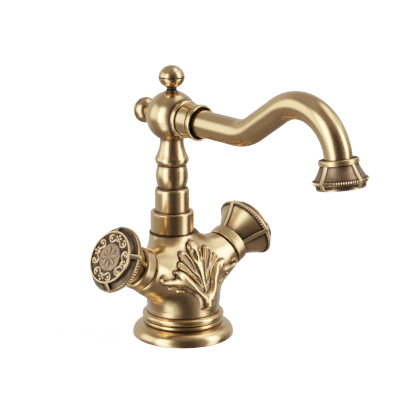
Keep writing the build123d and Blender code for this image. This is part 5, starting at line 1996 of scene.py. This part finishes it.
@dataclass
class Studio:
    """Camera at the photograph's angle, pale floor and soft cards of light round the faucet."""

    camera_place: Spot = (-0.80398, -0.88805, 0.40770)
    yaw: float = 0.745275
    pitch: float = -0.257022
    lens: float = 167.73
    sensor_w: float = 36.0
    sight: float = 20.0
    room: float = 0.15
    cards: tuple[Card, ...] = (
        Card("left softbox", -48.0, 14.5, -17.0, 40.0, 7.0, 2.4),
        Card("left softbox foot", -44.0, 14.0, -55.0, -11.0, 6.0, 1.1),
        Card("left basin glow", -30.0, 22.0, -60.0, -24.0, 7.0, 0.35),
        Card("left softbox core", -54.0, 8.0, -2.0, 24.0, 6.0, 1.2),
        Card("right softbox", 77.0, 11.5, 6.0, 45.0, 6.0, 3.5),
        Card("right softbox foot", 72.0, 10.5, -31.0, 6.0, 6.0, 1.7),
        Card("far left sheet", -89.0, 18.5, -8.0, 32.0, 8.0, 1.15),
        Card("overhead sheet", 106.0, 42.0, 48.0, 75.0, 9.0, 1.2),
        Card("back right sheet", 105.0, 22.0, 28.0, 42.0, 8.0, 0.7),
        Card("black front card", 9.0, 27.0, -72.0, 45.0, 13.0, -0.12),
        Card("black side card", 109.0, 24.0, -37.0, 5.5, 7.0, -0.19),
        Card("back wall", 178.0, 71.0, -30.0, 40.0, 20.0, 0.24),
        Card("ceiling", -120.0, 75.0, 50.0, 120.0, 15.0, 0.09),
        Card("dark deck", 0.0, 200.0, -120.0, -48.0, 8.0, -0.03))
    darkest: float = 0.02
    shade: Colour = (1.0, 0.80, 0.74)
    pale_ramp: Point = (0.05, 0.35)
    white: float = 2.5
    floor_half: float = 4.0
    floor_drop: float = 0.0002
    floor_tone: float = 0.85
    floor_roughness: float = 0.9
    floor_glow: float = 0.8
    film_lights: tuple[float, ...] = (0.1, 0.25, 0.5, 0.8, 1.25, 1.75)
    film_speed: float = 2.0

    def camera(self) -> None:
        """Sets the camera."""
        data = bpy.data.cameras.new("camera")
        data.lens = self.lens
        data.sensor_width = self.sensor_w
        data.clip_end = self.sight
        camera = bpy.data.objects.new("camera", data)
        camera.location = self.camera_place
        camera.rotation_euler = (math.pi / 2 + self.pitch, 0.0, -self.yaw)
        bpy.context.scene.collection.objects.link(camera)
        bpy.context.scene.camera = camera

    def sky(self) -> None:
        """Lights the room with its cards, white to the camera."""
        world = bpy.data.worlds.new("studio")
        bpy.context.scene.world = world
        world.use_nodes = True
        wiring = Wiring(world.node_tree)
        way = wiring.add("ShaderNodeTexCoord").outputs["Generated"]
        toward = (-math.sin(self.yaw), -math.cos(self.yaw), 0.0)
        right = (math.cos(self.yaw), -math.sin(self.yaw), 0.0)
        ahead, aside = (
            wiring.add("ShaderNodeVectorMath", {0: way, 1: axis}, operation="DOT_PRODUCT").outputs["Value"]
            for axis in (toward, right))
        bearing = wiring.math("DEGREES", wiring.math("ARCTAN2", aside, ahead))
        up = wiring.add("ShaderNodeSeparateXYZ", {0: way}).outputs["Z"]
        height = wiring.math("DEGREES", wiring.math("ARCSINE", up))
        total = self.room
        for card in self.cards:
            off = wiring.math("WRAP", wiring.math("SUBTRACT", bearing, card.bearing), 180.0, -180.0)
            off = wiring.math("ABSOLUTE", off)
            share = wiring.ramp(off, card.half_width - card.soft, card.half_width + card.soft, 1.0, 0.0)
            for edge, start, end in ((card.low, 0.0, 1.0), (card.high, 1.0, 0.0)):
                inside = wiring.ramp(height, edge - card.soft, edge + card.soft, start, end)
                share = wiring.math("MULTIPLY", share, inside)
            total = wiring.math("MULTIPLY_ADD", share, card.glow, total)
        seen = wiring.add("ShaderNodeLightPath").outputs["Is Camera Ray"]
        lit = wiring.math("MAXIMUM", total, self.darkest)
        strength = wiring.math("MAXIMUM", lit, wiring.math("MULTIPLY", seen, self.white))
        paleness = wiring.math("MAXIMUM", wiring.ramp(lit, *self.pale_ramp), seen)
        colour = wiring.blend(paleness, self.shade, (1.0, 1.0, 1.0))
        wiring.feed(world.node_tree.nodes["Background"], {"Strength": strength, "Color": colour})

    def floor(self) -> None:
        """Lays a pale floor that carries soft shadows and stays out of the reflections."""
        half = self.floor_half
        mesh = bpy.data.meshes.new("floor")
        corners = [(-half, -half, 0), (half, -half, 0), (half, half, 0), (-half, half, 0)]
        mesh.from_pydata(corners, [], [(0, 1, 2, 3)])
        material, wiring, paint = new_material("pale_floor")
        wiring.feed(paint, {
            "Base Color": (*(self.floor_tone,) * 3, 1.0), "Roughness": self.floor_roughness,
            "Specular IOR Level": 0.0, "Emission Color": (1.0, 1.0, 1.0, 1.0),
            "Emission Strength": self.floor_glow * self.white})
        seen = wiring.add("ShaderNodeLightPath").outputs["Is Camera Ray"]
        clear = wiring.add("ShaderNodeBsdfTransparent").outputs[0]
        mixed = wiring.add("ShaderNodeMixShader", {0: seen, 1: clear, 2: paint.outputs[0]}).outputs[0]
        wiring.feed(material.node_tree.nodes["Material Output"], {"Surface": mixed})
        mesh.materials.append(material)
        floor = bpy.data.objects.new("floor", mesh)
        floor.location = (0, 0, -self.floor_drop)
        bpy.context.scene.collection.objects.link(floor)

    def film(self) -> None:
        """Rolls the bright tones off softly up to white, as a photograph does."""
        view = bpy.context.scene.view_settings
        view.view_transform = "Standard"
        view.use_curve_mapping = True
        mapping = view.curve_mapping
        mapping.white_level = (self.white,) * 3
        curve = mapping.curves[3]
        curve.points[-1].location = (1.0, 1.0)
        for light in self.film_lights:
            curve.points.new(light / self.white, 1.0 - math.exp(-self.film_speed * light))
        mapping.update()

    def build(self) -> None:
        """Sets up camera, floor, light and tones."""
        self.camera()
        self.sky()
        self.floor()
        self.film()


def joint_axis(name: str) -> tuple[Spot, Spot]:
    """Reads a point in millimetres on the axis of a joint of the frame, and the axis's direction."""
    joint = next(joint for joint in frame["joints"] if joint["name"] == name)
    return tuple(value / MM for value in joint["pos_m"]), tuple(joint["axis"])


def dress_inner_nodes() -> None:
    """Gives the pieces of the construction that stay on view the finish of their slot."""
    made = {finish.name: finish.make() for finish in INNER_FINISHES}
    for part in frame["record"]["subparts"]:
        if part["material_slot"] in made:
            node = frame["nodes"][part["node"]]
            for slot in node.material_slots:
                slot.material = made[part["material_slot"]]
            log.info("%s: dressed as %s", part["node"], part["material_slot"])


def main() -> None:
    """Builds the faucet's pieces in order, then the studio."""
    logging.basicConfig(level=logging.INFO, format="%(name)s %(message)s")
    shop = Workshop()
    waist_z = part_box("base_flange")[1].z / MM
    collar_low, collar_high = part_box("collar_nut")
    root, cold_axis = joint_axis("cold_handle_turn")
    body = BodyCasting(waist_z, collar_low.z / MM, root[2], cold_axis)
    body.build(shop)
    swivel, _ = joint_axis("spout_swivel")
    spigot_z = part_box("spout_column")[0].z / MM
    thrust_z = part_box("swivel_washer")[1].z / MM + THRUST_GAP
    column = TurnedColumn(swivel[1], collar_low.z / MM, collar_high.z / MM, spigot_z, thrust_z)
    column.build(shop)
    for side, turn in ((Side.HOT, 15.0), (Side.COLD, -6.5)):
        start, axis = joint_axis(f"{side.value}_handle_turn")
        mouth = tuple(place + way * body.arm_length for place, way in zip(start, axis))
        bell = RibbedBell(
            ring_r=14.3, ring_h=8.2, neck_r=11.9, flare_h=14.0, mouth_r=20.8, bead_r=1.5, rim_h=5.0,
            rim_r=17.6, rib_w=3.0, rib_h=0.8, panel_dark=0.06, border=1.3, start=1.2, turn=turn)
        RibbedHandle(side, bell, Place(mouth, axis, TO_FRONT)).build(shop)
    ball_low, ball_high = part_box("hub_ball")
    ball_r = (ball_high.x - ball_low.x) / 2 / MM
    ball_z = ball_low.z / MM + math.sqrt(ball_r ** 2 - column.top_r ** 2)
    nozzle = RibbedBell(
        ring_r=12.7, ring_h=3.5, neck_r=11.9, flare_h=8.6, mouth_r=16.5, bead_r=1.2, rim_h=3.8, rim_r=15.5,
        rib_w=3.3, rib_h=0.5, panel_dark=0.34, border=0.9, ledge=0.15, rim_dark=0.1)
    SpoutAssembly((0.0, swivel[1], ball_z), nozzle, ball_r).build(shop)
    dress_inner_nodes()
    Studio().build()


if __name__ == "__main__":
    main()
